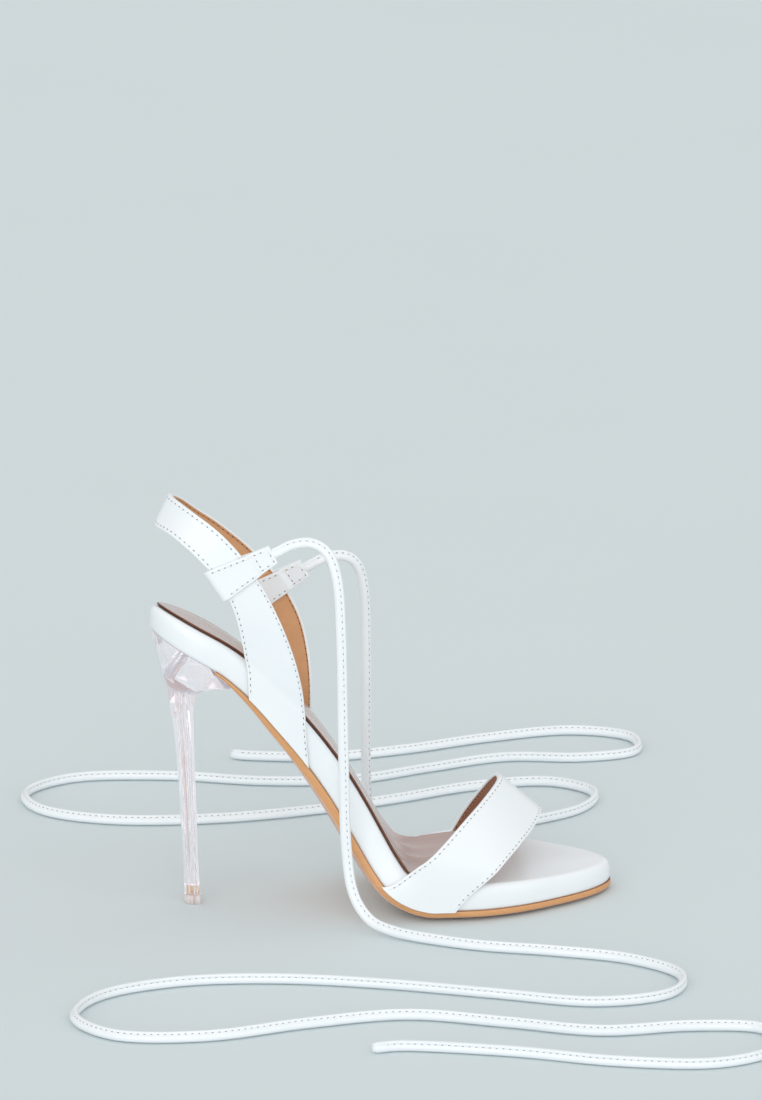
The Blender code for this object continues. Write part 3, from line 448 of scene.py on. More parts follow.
# Sections along the footbed: forward is a share of BED_LENGTH, rise of HEEL_RISE, spring of TOE_SPRING,
# centre and half of BALL_WIDTH, lift of SIDE_LIFT, arch of ARCH_RISE, rand of RAND_HEIGHT, crown of
# BED_CROWN, sole of OUTSOLE_THICKNESS and belly of WAIST_BELLY.
BED_COLUMNS = (
    "forward", "rise", "spring", "centre", "half", "lift", "arch", "rand", "crown", "sole", "belly",
)
BED_SECTIONS = (
    (0.000, 1.000, 0.00, -0.010, 0.292, 0.00, -1.30, 1.00, -0.60, 0.30, 0.00),
    (0.059, 0.950, 0.00, -0.010, 0.292, 0.00, -1.30, 1.00, -0.60, 0.30, 0.00),
    (0.140, 0.870, 0.00, -0.008, 0.292, 0.00, -1.30, 1.00, -0.60, 0.35, 0.00),
    (0.201, 0.781, 0.00, -0.008, 0.292, 0.00, -1.00, 1.00, -0.50, 0.80, 0.20),
    (0.263, 0.661, 0.00, -0.012, 0.284, 0.00, -0.60, 1.00, -0.30, 1.15, 0.60),
    (0.319, 0.545, 0.00, -0.022, 0.274, 0.00, -0.35, 1.00, -0.20, 1.30, 1.00),
    (0.366, 0.431, 0.00, -0.032, 0.276, 0.10, -0.35, 1.00, -0.20, 1.40, 1.00),
    (0.402, 0.327, 0.00, -0.038, 0.290, 0.25, -0.30, 1.00, -0.20, 1.40, 0.90),
    (0.430, 0.237, 0.00, -0.042, 0.315, 0.45, -0.25, 1.00, -0.20, 1.35, 0.60),
    (0.459, 0.146, 0.00, -0.046, 0.352, 0.70, -0.10, 1.00, -0.20, 1.25, 0.30),
    (0.490, 0.072, 0.00, -0.046, 0.394, 0.90, 0.00, 1.00, -0.20, 1.15, 0.10),
    (0.526, 0.030, 0.00, -0.040, 0.432, 1.00, 0.00, 1.00, -0.10, 1.05, 0.00),
    (0.562, 0.008, 0.00, -0.028, 0.460, 1.00, 0.00, 1.00, 0.00, 1.00, 0.00),
    (0.593, 0.000, 0.00, -0.016, 0.478, 1.00, 0.00, 1.00, 0.10, 1.00, 0.00),
    (0.633, 0.000, 0.00, -0.004, 0.492, 1.00, 0.00, 1.00, 0.30, 1.00, 0.00),
    (0.675, 0.000, 0.00, 0.006, 0.502, 1.00, 0.00, 1.00, 0.60, 1.00, 0.00),
    (0.783, 0.000, 0.33, 0.012, 0.482, 0.75, 0.00, 0.92, 1.00, 1.00, 0.00),
    (0.900, 0.000, 0.69, 0.018, 0.440, 0.45, 0.00, 0.82, 0.80, 1.00, 0.00),
    (1.000, 0.000, 1.00, 0.018, 0.420, 0.25, 0.00, 0.78, 0.40, 1.00, 0.00),
)
OUTSOLE_STEPS = ((0.0008, 0.0), (0.0003, 0.12), (0.0, 0.30), (0.0, 0.70), (0.0001, 0.93), (0.0004, 1.0))
CEMENT = 0.0001            # cemented without a gap
ACROSS_STEPS = 26
ALONG_STEP = 0.0022
ROUND_STEPS = 16
TOE_STEPS = 30


def monotone_slopes(rows):
    """Slope of each column at each row, level where the column turns or lies flat."""
    spans = np.diff(rows[:, :1], axis=0)
    rates = np.diff(rows, axis=0) / spans
    before, after = rates[:-1], rates[1:]
    same_way = before * after > 0
    weight_before = 2 * spans[1:] + spans[:-1]
    weight_after = spans[1:] + 2 * spans[:-1]
    share = weight_before / np.where(same_way, before, 1)
    share = share + weight_after / np.where(same_way, after, 1)
    inner = np.where(same_way, (weight_before + weight_after) / share, 0)
    return np.vstack([rates[:1], inner, rates[-1:]])


bed_rows = np.array(BED_SECTIONS)
bed = dict(zip(BED_COLUMNS, filled(bed_rows, monotone_slopes(bed_rows)).T))
bed_x = bed["forward"] * BED_LENGTH - HEEL_OVERHANG
bed_z = OUTSOLE_THICKNESS + GAP + bed["rise"] * HEEL_RISE + bed["spring"] * TOE_SPRING
bed_run = np.concatenate([[0], np.cumsum(np.hypot(np.diff(bed_x), np.diff(bed_z)))])
bed_slope = np.arctan2(np.gradient(bed_z, bed_run), np.gradient(bed_x, bed_run))
SOLE_RUN = bed_run[-1]


def smooth_share(share):
    """0 before a span, 1 after it and a soft rise between."""
    share = np.clip(share, 0, 1)
    return share * share * (3 - 2 * share)


def bed_value(column, run):
    """A column of the footbed's table at a place along the sole."""
    return np.interp(run, bed_run, bed[column])


def rounding(reach, radius, power):
    """How much of the width is left at a distance from a round end."""
    left = np.clip(1 - reach / radius, 0, 1)
    return (1 - left ** power) ** (1 / power)


def outline(share, inset):
    """Run along the sole, centre line and half width of its outline, drawn in by inset."""
    length = SOLE_RUN - 2 * inset
    run = inset + share * length
    half = bed_value("half", run) * BALL_WIDTH - inset
    half = half * rounding(share * length, HEEL_ROUND - inset, 2)
    half = half * rounding((1 - share) * length, TOE_ROUND - inset, TOE_SHARPNESS)
    return run, bed_value("centre", run) * BALL_WIDTH, half


def full_half(run):
    """Half of the sole's width at a place along it."""
    return outline(np.clip(run / SOLE_RUN, 0, 1), 0)[2]


def side_lift(run, across):
    """How far the sole curves up at a share of its half width."""
    bend = np.clip((np.minimum(np.abs(across), 1) - FLAT_SHARE) / (1 - FLAT_SHARE), 0, 1)
    inward = (1 + np.clip(across, -1, 1)) / 2
    edges = SIDE_LIFT * bed_value("lift", run) * bend ** 2
    return edges + ARCH_RISE * bed_value("arch", run) * inward ** 2


def bed_point(run, across, y, height):
    """A point at a height above the footbed's underside: square to it, but upright at the heel end."""
    slope = np.interp(run, bed_run, bed_slope)
    lean = slope * smooth_share(run / SEAT_BLEND)
    rise = (height + side_lift(run, across)) / np.cos(slope - lean)
    past_end = run - np.clip(run, 0, SOLE_RUN)
    x = np.interp(run, bed_run, bed_x) - np.sin(lean) * rise + np.cos(slope) * past_end
    z = np.interp(run, bed_run, bed_z) + np.cos(lean) * rise + np.sin(slope) * past_end
    return np.stack(np.broadcast_arrays(x, y, z), axis=-1)


def arch(across):
    """1 in the middle of the sole and 0 at its edges."""
    return 1 - np.minimum(np.abs(across), 1) ** 2


def bed_height(run, across):
    """Height of the footbed's top above its underside."""
    return RAND_HEIGHT * bed_value("rand", run) + BED_CROWN * bed_value("crown", run) * arch(across)


def outsole_depth(run, across):
    """How far the outsole's underside lies below the footbed's."""
    belly = WAIST_BELLY * bed_value("belly", run) * arch(across)
    return GAP + OUTSOLE_THICKNESS * bed_value("sole", run) + belly


def sole_stations(first=0.0, last=1.0):
    """Shares of the sole's run: close together at its round ends, even between them."""
    heel = (1 - np.cos(np.linspace(0, math.pi / 2, ROUND_STEPS + 1))) * HEEL_ROUND / SOLE_RUN
    toe = 1 - (1 - np.cos(np.linspace(math.pi / 2, 0, TOE_STEPS + 1))) * TOE_ROUND / SOLE_RUN
    count = math.ceil((toe[0] - heel[-1]) * SOLE_RUN / ALONG_STEP)
    shares = np.concatenate([heel, np.linspace(heel[-1], toe[0], count + 1)[1:-1], toe])
    near = 0.4 * ALONG_STEP / SOLE_RUN
    low = first + (near if first else 0)
    high = last - (near if last < 1 else 0)
    kept = shares[(shares > low) & (shares < high)]
    return np.concatenate([[first], kept, [last]])


def layer_mesh(name, shares, steps, bottom, top, looks, grow=0.0, skew=0.0):
    """A layer of the sole between two heights, with its materials at the side steps, top and bottom."""
    columns = []
    kinds = []
    marks = []

    def add(inset, share_up, spread, kind):
        run, centre, half = outline(shares, inset - grow)
        across = half * spread / np.maximum(full_half(run), MEETING)
        run = run + skew * across * (shares / shares[-1]) ** 4
        low = bottom(run, across)
        height = low + share_up * (top(run, across) - low)
        y = centre + half * spread
        columns.append(bed_point(run, across, y, height))
        kinds.append(kind)
        marks.append(np.stack(np.broadcast_arrays(run, y + share_up * MM), axis=-1))

    spreads = np.sin(np.linspace(-math.pi / 2, math.pi / 2, ACROSS_STEPS + 1))[1:-1]
    side_looks, top_look, bottom_look = looks
    for (inset, share_up), kind in zip(steps, (*side_looks, top_look)):
        add(inset, share_up, -1, kind)
    for spread in spreads:
        add(*steps[-1], spread, top_look)
    for (inset, share_up), kind in zip(reversed(steps), (*reversed(side_looks), bottom_look)):
        add(inset, share_up, 1, kind)
    for spread in reversed(spreads):
        add(*steps[0], spread, bottom_look)
    grid = np.stack(columns, axis=1)
    return grid_mesh(name, grid, True, shares[0] > 0, shares[-1] < 1, kinds, np.stack(marks, axis=1))


# Rubber filled to look like a cut leather edge, ground and waxed: tan with faint lengthwise streaks.
tan_edge, tree, shader = new_material("waxed_tan_sole_edge", {"Roughness": 0.42, "IOR": 1.5})
place = add_node(tree, "ShaderNodeUVMap", {"uv_map": "along"})
stretch = add_node(tree, "ShaderNodeMapping", {"Scale": (60, 2500, 1)}, [("Vector", place, "UV")])
streak = add_node(tree, "ShaderNodeTexNoise", {"Scale": 1.0, "Detail": 3.0},
                  [("Vector", stretch, "Vector")])
blended(tree, shader, streak, "#D2935C", "#E3AE7B")
raised(tree, shader, streak, "Fac", 0.25, 0.0001)

# Cement squeezed out in the join, mid brown, darkened as painted shade in the join.
cement_and_join_shade, tree, shader = new_material("cement_and_join_shade", {"Roughness": 0.6})
clouded(tree, shader, "#94623F", "#B07C52", 400.0)

# The same rubber's moulded underside: pale pinkish beige, with a fine pebble of about 1 mm.
sole_underside, tree, shader = new_material("moulded_sole_underside", {"Roughness": 0.5, "IOR": 1.5})
clouded(tree, shader, "#DDB09A", "#E9C3B2", 60.0, 4.0)
grained(tree, shader, 900.0, 0.3, 0.0001)

# Its materials by number: the side from the bottom up, then top and underside.
mesh = layer_mesh(
    "tan_outsole", sole_stations(first=OUTSOLE_START / SOLE_RUN), OUTSOLE_STEPS,
    lambda run, across: -outsole_depth(run, across), lambda run, across: 0 * run + CEMENT,
    ([2, 0, 0, 0, 1], 1, 2), grow=OUTSOLE_EDGE,
)
new_piece("tan_outsole", mesh, [tan_edge, cement_and_join_shade, sole_underside], "outsole")


# Footbed. A moulded platform wrapped in the same white coated leather, which turns over its rounded upper
# edge; behind, it is cupped for the heel, and in front it is a low dome for the toes.
RAND_STEPS = (
    (0.0008, 0.0), (0.0004, 0.05), (0.0002, 0.12), (0.0001, 0.22), (0.0, 0.32), (0.0, 0.55),
    (0.00012, 0.66), (0.0004, 0.76), (0.0008, 0.85), (0.0013, 0.92), (0.0019, 0.965), (0.0025, 0.99),
    (0.0032, 1.0),
)
mesh = layer_mesh("wrapped_footbed", sole_stations(), RAND_STEPS, lambda run, across: 0 * run, bed_height,
                  ([0] * (len(RAND_STEPS) - 1), 0, 0))
new_piece("wrapped_footbed", mesh, [white_leather], "footbed")


# Sock. A padded lining cut from glossy taupe synthetic leather, glued on the footbed; its painted edge is
# dark brown. It creases softly lengthwise where the waist bends down to the ball.
SOCK_THICKNESS = 0.0012
SOCK_INSET = 0.0033
SOCK_RUN = 0.1830          # along the sole, at its middle
SOCK_SKEW = 0.0150         # its front end lies oblique under the toe strap
SOCK_STEPS = ((0.0003, 0.0), (0.0, 0.2), (0.0, 0.62), (0.0002, 0.85), (0.0006, 1.0))
# Soft ridges and troughs: run along the sole, share across, length, breadth as a share, height
SOCK_FOLDS = (
    (0.156, 0.02, 0.026, 0.10, 0.0009), (0.160, -0.34, 0.022, 0.09, 0.0008),
    (0.150, 0.44, 0.026, 0.10, 0.0008), (0.158, -0.16, 0.026, 0.08, -0.0007),
    (0.152, 0.23, 0.026, 0.09, -0.0007), (0.164, -0.60, 0.018, 0.10, 0.0006),
    (0.120, -0.10, 0.030, 0.22, -0.0004), (0.172, 0.25, 0.014, 0.20, 0.0005),
    (0.034, 0.20, 0.022, 0.12, 0.0004), (0.040, -0.20, 0.026, 0.12, 0.0004),
    (0.070, 0.05, 0.026, 0.15, -0.0004),
)


def sock_top(run, across):
    """Height of the sock's creased top above the footbed's underside."""
    height = bed_height(run, across) + GAP + SOCK_THICKNESS
    for middle, place_across, length, breadth, rise in SOCK_FOLDS:
        along = np.exp(-((run - middle) / length) ** 2)
        height = height + rise * along * np.exp(-((across - place_across) / breadth) ** 2)
    return height


# Polyurethane lining, calendered glossy: taupe with a pink cast and a clear soft highlight.
sock_lining, tree, shader = new_material("glossy_taupe_lining", {
    "Roughness": 0.24, "IOR": 1.5, "Coat Weight": 0.4, "Coat Roughness": 0.12,
})
clouded(tree, shader, "#BDA29B", "#D0B7B0", 45.0, 3.0)
grained(tree, shader, 1100.0, 0.12, 0.00006)

# Edge paint on the cut foam and lining: dark reddish brown, slightly uneven.
painted_edge, tree, shader = new_material("dark_edge_paint", {"Roughness": 0.5})
clouded(tree, shader, "#4A2412", "#7A4226", 300.0)

mesh = layer_mesh("padded_sock", sole_stations(last=SOCK_RUN / SOLE_RUN), SOCK_STEPS,
                  lambda run, across: bed_height(run, across) + GAP, sock_top,
                  ([1, 1, 1, 0], 0, 1), grow=-SOCK_INSET, skew=SOCK_SKEW)
new_piece("padded_sock", mesh, [sock_lining, painted_edge], "sock")


# Toe strap. A wide band of white coated leather over a lining painted darker brown as shade, its edges
# turned and sewn 1.4 mm in, lasted under the footbed on both sides and leaning forward over the ball of the
# foot.
STRAP_WALL = 0.0019
SIDE_ROUNDS = 8            # of search for the spot on the rand beside a strap
SIDE_EASE = 0.7            # share of each round's step that is taken
STRAP_CLEARANCE = 0.00035
TOE_STRAP_HEIGHT = 0.0485  # above the footbed's underside
TOE_STRAP_STEPS = 26       # across the strap
TOE_STRAP_TURN = 0.026     # share of its width that each turned edge covers
TURNED_EDGE = 0.00065      # radius of its rounded edges
CREASE_ANGLE = math.radians(50)         # edges sharper than this are rounded
STITCH_INSET = 0.0014
SEAM_END = 0.002
# Sections round the foot, outer side first. across is a share of the half width there, free of how far the
# strap has left the rand, back and front of BED_LENGTH, back_up and front_up of the strap's height.
TOE_STRAP_SECTIONS = (
    (-1.00, 0.00, 0.481, 0.00, 0.636, 0.00),
    (-1.00, 0.00, 0.501, 0.09, 0.650, 0.07),
    (-1.00, 0.00, 0.519, 0.18, 0.666, 0.14),
    (-1.00, 0.00, 0.539, 0.28, 0.685, 0.21),
    (-0.99, 0.35, 0.563, 0.41, 0.706, 0.29),
    (-0.95, 0.80, 0.595, 0.56, 0.732, 0.38),
    (-0.85, 1.00, 0.631, 0.69, 0.757, 0.45),
    (-0.69, 1.00, 0.667, 0.80, 0.786, 0.52),
    (-0.45, 1.00, 0.708, 0.90, 0.814, 0.57),
    (-0.14, 1.00, 0.745, 0.98, 0.837, 0.62),
    (0.18, 1.00, 0.750, 0.96, 0.845, 0.62),
    (0.44, 1.00, 0.743, 0.86, 0.841, 0.58),
    (0.66, 1.00, 0.730, 0.72, 0.835, 0.51),
    (0.84, 1.00, 0.714, 0.57, 0.827, 0.41),
    (0.96, 0.80, 0.698, 0.42, 0.819, 0.31),
    (1.00, 0.30, 0.685, 0.30, 0.813, 0.22),
    (1.00, 0.00, 0.672, 0.19, 0.809, 0.14),
    (1.00, 0.00, 0.666, 0.09, 0.805, 0.07),
    (1.00, 0.00, 0.662, 0.00, 0.803, 0.00),
)


def rand_side(x, z):
    """Run along the sole of the spot on the footbed that lies square below x, z."""
    run = np.interp(x, bed_x, bed_run)
    for _ in range(SIDE_ROUNDS):
        slope = np.interp(run, bed_run, bed_slope)
        ahead = (x - np.interp(run, bed_run, bed_x)) * np.cos(slope)
        above = (z - np.interp(run, bed_run, bed_z)) * np.sin(slope)
        run = np.clip(run + SIDE_EASE * (ahead + above), 0, SOLE_RUN)
    return run


def strap_points(sections, place, height, ankle_half=None):
    """The inner face of a strap, at a place across it from 0 at its back edge to 1 at its front edge."""
    across, free, back, back_up, front, front_up = sections.T
    x = (back + place * (front - back)) * BED_LENGTH - HEEL_OVERHANG
    up = (back_up + place * (front_up - back_up)) * height
    below = np.interp(x, bed_x, bed_run)
    z = np.interp(x, bed_x, bed_z) + up
    side_run = rand_side(x, z)
    reach = np.sign(across) * (full_half(side_run) + STRAP_CLEARANCE)
    side = bed_value("centre", side_run) * BALL_WIDTH + reach
    if ankle_half is None:
        loose = bed_value("centre", below) * BALL_WIDTH + across * (full_half(below) + STRAP_CLEARANCE)
    else:
        loose = across * ankle_half
    y = (1 - free) * side + free * loose
    return np.stack([x, y, z + (1 - free) * side_lift(below, across)], axis=-1)


def finished(thing, crease=CREASE_ANGLE):
    """Makes the piece's modifiers part of its mesh."""
    bpy.ops.object.select_all(action="DESELECT")
    bpy.context.view_layer.objects.active = thing
    thing.select_set(True)
    for modifier in list(thing.modifiers):
        bpy.ops.object.modifier_apply(modifier=modifier.name)
    bpy.ops.object.shade_smooth_by_angle(angle=crease)
    thing.select_set(False)


def thickened(thing, wall, offset, edge_radius, material_step=0):
    """Gives a sheet its wall and rounded edges; the new side's materials are a step further on."""
    shell = thing.modifiers.new("Wall", "SOLIDIFY")
    shell.thickness = wall
    shell.offset = offset
    shell.use_even_offset = True
    shell.material_offset = material_step
    edge = thing.modifiers.new("Edge", "BEVEL")
    edge.width = edge_radius
    edge.segments = 3
    edge.limit_method = "ANGLE"
    edge.angle_limit = CREASE_ANGLE
    finished(thing)


def outward(grid):
    """Ways out at each point of a strap's inner face: away from a spot 30 mm below its middle."""
    side = unit(grid - (grid.mean(axis=(0, 1)) - (0, 0, 30 * MM)))
    found = unit(np.cross(np.gradient(grid, axis=0), np.gradient(grid, axis=1)))
    facing = np.sign((found * side).sum(axis=-1, keepdims=True))
    return found * np.where(facing == 0, 1, facing)


def lined_strap(name, grid, normals, lining, node):
    """A strap thickened away from the foot, lining inside and leather outside, with its edges turned."""
    along = run_along(grid.mean(axis=1))
    across = np.cumsum(np.linalg.norm(np.diff(grid, axis=1), axis=2), axis=1)
    across = np.column_stack([np.zeros(len(grid)), across])
    marks = np.stack([np.broadcast_to(along[:, None], across.shape), across], axis=-1)
    looks = [2] + [0] * (grid.shape[1] - 3) + [2]
    mesh = grid_mesh(name, grid, looks=looks, marks=marks)
    middle = mesh.polygons[len(mesh.polygons) // 2]
    nearest = np.argmin(np.linalg.norm(grid.reshape(-1, 3) - np.array(middle.center), axis=1))
    if np.array(middle.normal) @ normals.reshape(-1, 3)[nearest] < 0:
        mesh.flip_normals()
    materials = [white_leather, lining, white_leather, white_leather]
    strap = new_piece(name, mesh, materials, node)
    thickened(strap, STRAP_WALL, 1, TURNED_EDGE, 1)


def edge_line(grid, normals, inset, front):
    """The line at a distance from a strap's back or front edge, with its ways out."""
    lines = []
    outs = []
    for row, out in zip(grid, normals):
        run = run_along(row)
        spot = run[-1] - inset if front else inset
        lines.append(at_places(spot, run, row)[0])
        outs.append(at_places(spot, run, out)[0])
    return np.array(lines), unit(np.array(outs))


def sewn_edges(name, grid, normals):
    """Stitches along both edges of a strap, outside in white and inside in the lining's colour."""
    outside = []
    inside = []
    for front in (False, True):
        line, outs = edge_line(grid, normals, STITCH_INSET, front)
        outside.append(stitch_places(line + outs * STRAP_WALL, outs, SEAM_END))
        inside.append(stitch_places(line, -outs, SEAM_END))
    stitched(name + "_stitches", outside, [white_thread, needle_hole])
    stitched(name + "_lining_stitches", inside, [brown_thread, lining_hole])


def sewn_strap(name, node, lining, table, height, steps, turned, ankle_half=None):
    """A strap from its table of sections, lined and sewn. Its turned edges stay white inside."""
    sections = curve_through(table)
    shares = [0, *np.linspace(turned, 1 - turned, steps - 2), 1]
    grid = np.stack([strap_points(sections, share, height, ankle_half) for share in shares], axis=1)
    normals = outward(grid)
    lined_strap(name, grid, normals, lining, node)
    sewn_edges(name, grid, normals)


# Lining of soft tan synthetic leather, lightly napped: warm brown, matt, with small darker pores.
strap_lining, tree, shader = new_material("tan_strap_lining", {
    "Roughness": 0.55, "IOR": 1.45, "Sheen Weight": 0.15,
})
clouded(tree, shader, "#CE9869", "#E0AB7E", 180.0, 5.0)
grained(tree, shader, 1000.0, 0.25, 0.00008)

# Bonded polyester thread on the lining side, light brown with the twist as fine bands.
brown_thread, tree, shader = new_material("brown_polyester_thread", {
    "Base Color": linear("#BC8658"), "Roughness": 0.5, "IOR": 1.55,
})
twisted(tree, shader, 0.0)

# Pinhole in the lining, dark with its own shade.
lining_hole, tree, shader = new_material("pricked_lining", {"Roughness": 0.9})
clouded(tree, shader, "#3E2216", "#5A3322", 700.0)

# The same lining painted a darker brown as the shade inside the toe strap.
shaded_toe_lining = strap_lining.copy()
shaded_toe_lining.name = "brown_toe_lining"
for node in shaded_toe_lining.node_tree.nodes:
    if node.type == "MIX_RGB":
        node.inputs["Color1"].default_value = linear("#94634A")
        node.inputs["Color2"].default_value = linear("#A8745A")
sewn_strap("toe_band", "toe_strap", shaded_toe_lining, TOE_STRAP_SECTIONS, TOE_STRAP_HEIGHT, TOE_STRAP_STEPS,
           TOE_STRAP_TURN)


# Ankle sling. One long curved strap of the same leather and lining, from the outer side of the waist round
# behind the ankle to the inner side, sewn along both edges like the toe strap.
SLING_HEIGHT = 0.0615      # above the footbed's underside
ANKLE_WIDTH = 0.0520       # inside the sling
SLING_STEPS = 18           # across the sling
SLING_TURN = 0.042         # share of its width that each turned edge covers
# The toe strap's columns, where across is a share of half ANKLE_WIDTH once the strap is free of the rand.
SLING_SECTIONS = (
    (-1.00, 0.00, 0.201, 0.00, 0.329, 0.00),
    (-1.00, 0.00, 0.199, 0.10, 0.325, 0.15),
    (-1.00, 0.00, 0.198, 0.18, 0.322, 0.28),
    (-1.00, 0.00, 0.194, 0.26, 0.321, 0.37),
    (-0.98, 0.50, 0.189, 0.34, 0.316, 0.49),
    (-0.98, 1.00, 0.182, 0.42, 0.303, 0.62),
    (-1.00, 1.00, 0.171, 0.52, 0.282, 0.74),
    (-1.00, 1.00, 0.155, 0.60, 0.254, 0.84),
    (-0.98, 1.00, 0.135, 0.66, 0.223, 0.90),
    (-0.94, 1.00, 0.112, 0.70, 0.185, 0.96),
    (-0.85, 1.00, 0.081, 0.74, 0.140, 0.99),
    (-0.60, 1.00, 0.045, 0.76, 0.091, 1.00),
    (-0.20, 1.00, 0.022, 0.74, 0.054, 1.00),
    (0.20, 1.00, 0.023, 0.73, 0.055, 0.98),
    (0.60, 1.00, 0.042, 0.70, 0.078, 0.95),
    (0.85, 1.00, 0.081, 0.67, 0.118, 0.91),
    (0.95, 1.00, 0.125, 0.62, 0.178, 0.91),
    (1.00, 1.00, 0.170, 0.55, 0.239, 0.94),
    (1.00, 1.00, 0.203, 0.48, 0.280, 0.96),
    (0.99, 1.00, 0.226, 0.41, 0.313, 0.93),
    (0.97, 1.00, 0.236, 0.34, 0.339, 0.86),
    (0.97, 0.50, 0.239, 0.26, 0.353, 0.72),
    (1.00, 0.00, 0.239, 0.18, 0.358, 0.54),
    (1.00, 0.00, 0.238, 0.09, 0.356, 0.28),
    (1.00, 0.00, 0.236, 0.00, 0.353, 0.00),
)
sewn_strap("ankle_sling", "ankle_strap", strap_lining, SLING_SECTIONS, SLING_HEIGHT, SLING_STEPS, SLING_TURN,
           ANKLE_WIDTH / 2)


# Keepers. A strip of the white leather is folded round the sling on each side, and its two ends are sewn
# together in a narrow tab that holds the end of the tie. Stitches run down both edges and box the tab.
KEEPER_WIDTH = 0.0144      # at its fold
KEEPER_TAB_WIDTH = 0.0080  # at its end
KEEPER_WALL = 0.0013
KEEPER_CLEARANCE = 0.0004
KEEPER_CLOSING = 0.0028    # over which the two ends come together
KEEPER_SLIT = 0.0003
KEEPER_TAB = 0.0112        # reach past the sling's upper edge
KEEPER_INSET = 0.0013      # of its stitches
KEEPER_BOX = 0.0006        # the tab's boxed seam starts this far past the closing
KEEPER_SEAM_END = 0.0004
KEEPER_EDGE = 0.0004
KEEPER_ACROSS = 13
FINE_STEPS = 24            # in each span of the sling's table, where a keeper is fitted


class KeeperPlace:
    """Where a keeper crosses the sling: its own axes, and the sling's surface there as a gentle curve."""

    def __init__(self, station, tilt):
        fine = curve_through(SLING_SECTIONS, FINE_STEPS)
        near = fine[int((station - 2.5) * FINE_STEPS):int((station + 2.5) * FINE_STEPS)]
        middle = fine[int(round(station * FINE_STEPS))][None]
        self.side = math.copysign(1, middle[0, 0])
        half = ANKLE_WIDTH / 2
        self.centre = strap_points(middle, 0.5, SLING_HEIGHT, half)[0]
        self.ahead = np.array([math.cos(math.radians(tilt)), 0, math.sin(math.radians(tilt))])
        self.along = np.array([self.ahead[2], 0, -self.ahead[0]])
        places = np.linspace(0, 1, 13)
        spots = np.stack([strap_points(near, place, SLING_HEIGHT, half) for place in places])
        ahead, along = (spots - self.centre) @ self.ahead, (spots - self.centre) @ self.along
        covered = np.abs(along) < KEEPER_WIDTH / 2
        self.low_lean, rest = self.edge(ahead[0][covered[0]], along[0][covered[0]])
        self.low = rest.min()
        self.high_lean, rest = self.edge(ahead[-1][covered[-1]], along[-1][covered[-1]])
        self.high = rest.max()
        self.tab_end = self.high + KEEPER_TAB
        ahead, along = ahead[covered], along[covered]
        terms = np.stack([np.ones(len(ahead)), ahead, ahead ** 2, along], axis=1)
        self.fit = np.linalg.lstsq(terms, spots[covered][:, 1], rcond=None)[0]

    def edge(self, ahead, along):
        """How far an edge of the sling leans across the keeper, and how far ahead it lies without that."""
        lean = np.polyfit(along, ahead, 1)[0]
        return lean, ahead - lean * along

    def leaned(self, ahead, along):
        """Places along the keeper, moved so that its fold follows the sling and its tab ends square."""
        ends = (self.low, self.high, self.tab_end)
        return ahead + np.interp(ahead, ends, (self.low_lean, self.high_lean, 0)) * along

    def width(self, ahead):
        """The keeper's width, which narrows towards the tab's end."""
        return np.interp(ahead, (self.low, self.tab_end), (KEEPER_WIDTH, KEEPER_TAB_WIDTH))

    def point(self, ahead, along, offset):
        """A point at an offset outward from the middle of the sling's wall, straight past its edges."""
        held = np.clip(ahead, self.low - KEEPER_WALL, self.high + KEEPER_WALL)
        rate = self.fit[1] + 2 * self.fit[2] * held
        y = self.fit[0] + self.fit[1] * held + self.fit[2] * held ** 2 + self.fit[3] * along
        y = y + rate * (ahead - held)
        outward = np.cross(self.ahead + [0, 1, 0] * rate[..., None], self.along + [0, self.fit[3], 0])
        outward /= np.linalg.norm(outward, axis=-1, keepdims=True)
        outward *= np.sign(outward[..., 1:2]) * self.side
        spot = ahead[..., None] * self.ahead + along[..., None] * self.along
        spot = spot + [self.centre[0], 0, self.centre[2]]
        spot[..., 1] = y
        return spot + outward * (offset + STRAP_WALL / 2)[..., None]

    def sewn_row(self, ahead, along, offset, way_out, end=0.0):
        """Stitches along a line on one face of the strip, whose middle lies at the offset."""
        ahead = self.leaned(ahead, along)
        line, above = [
            self.point(ahead, along, way_out * (offset + KEEPER_WALL / 2 + lift)) for lift in (0, MM)
        ]
        return stitch_places(line, unit(above - line), end)


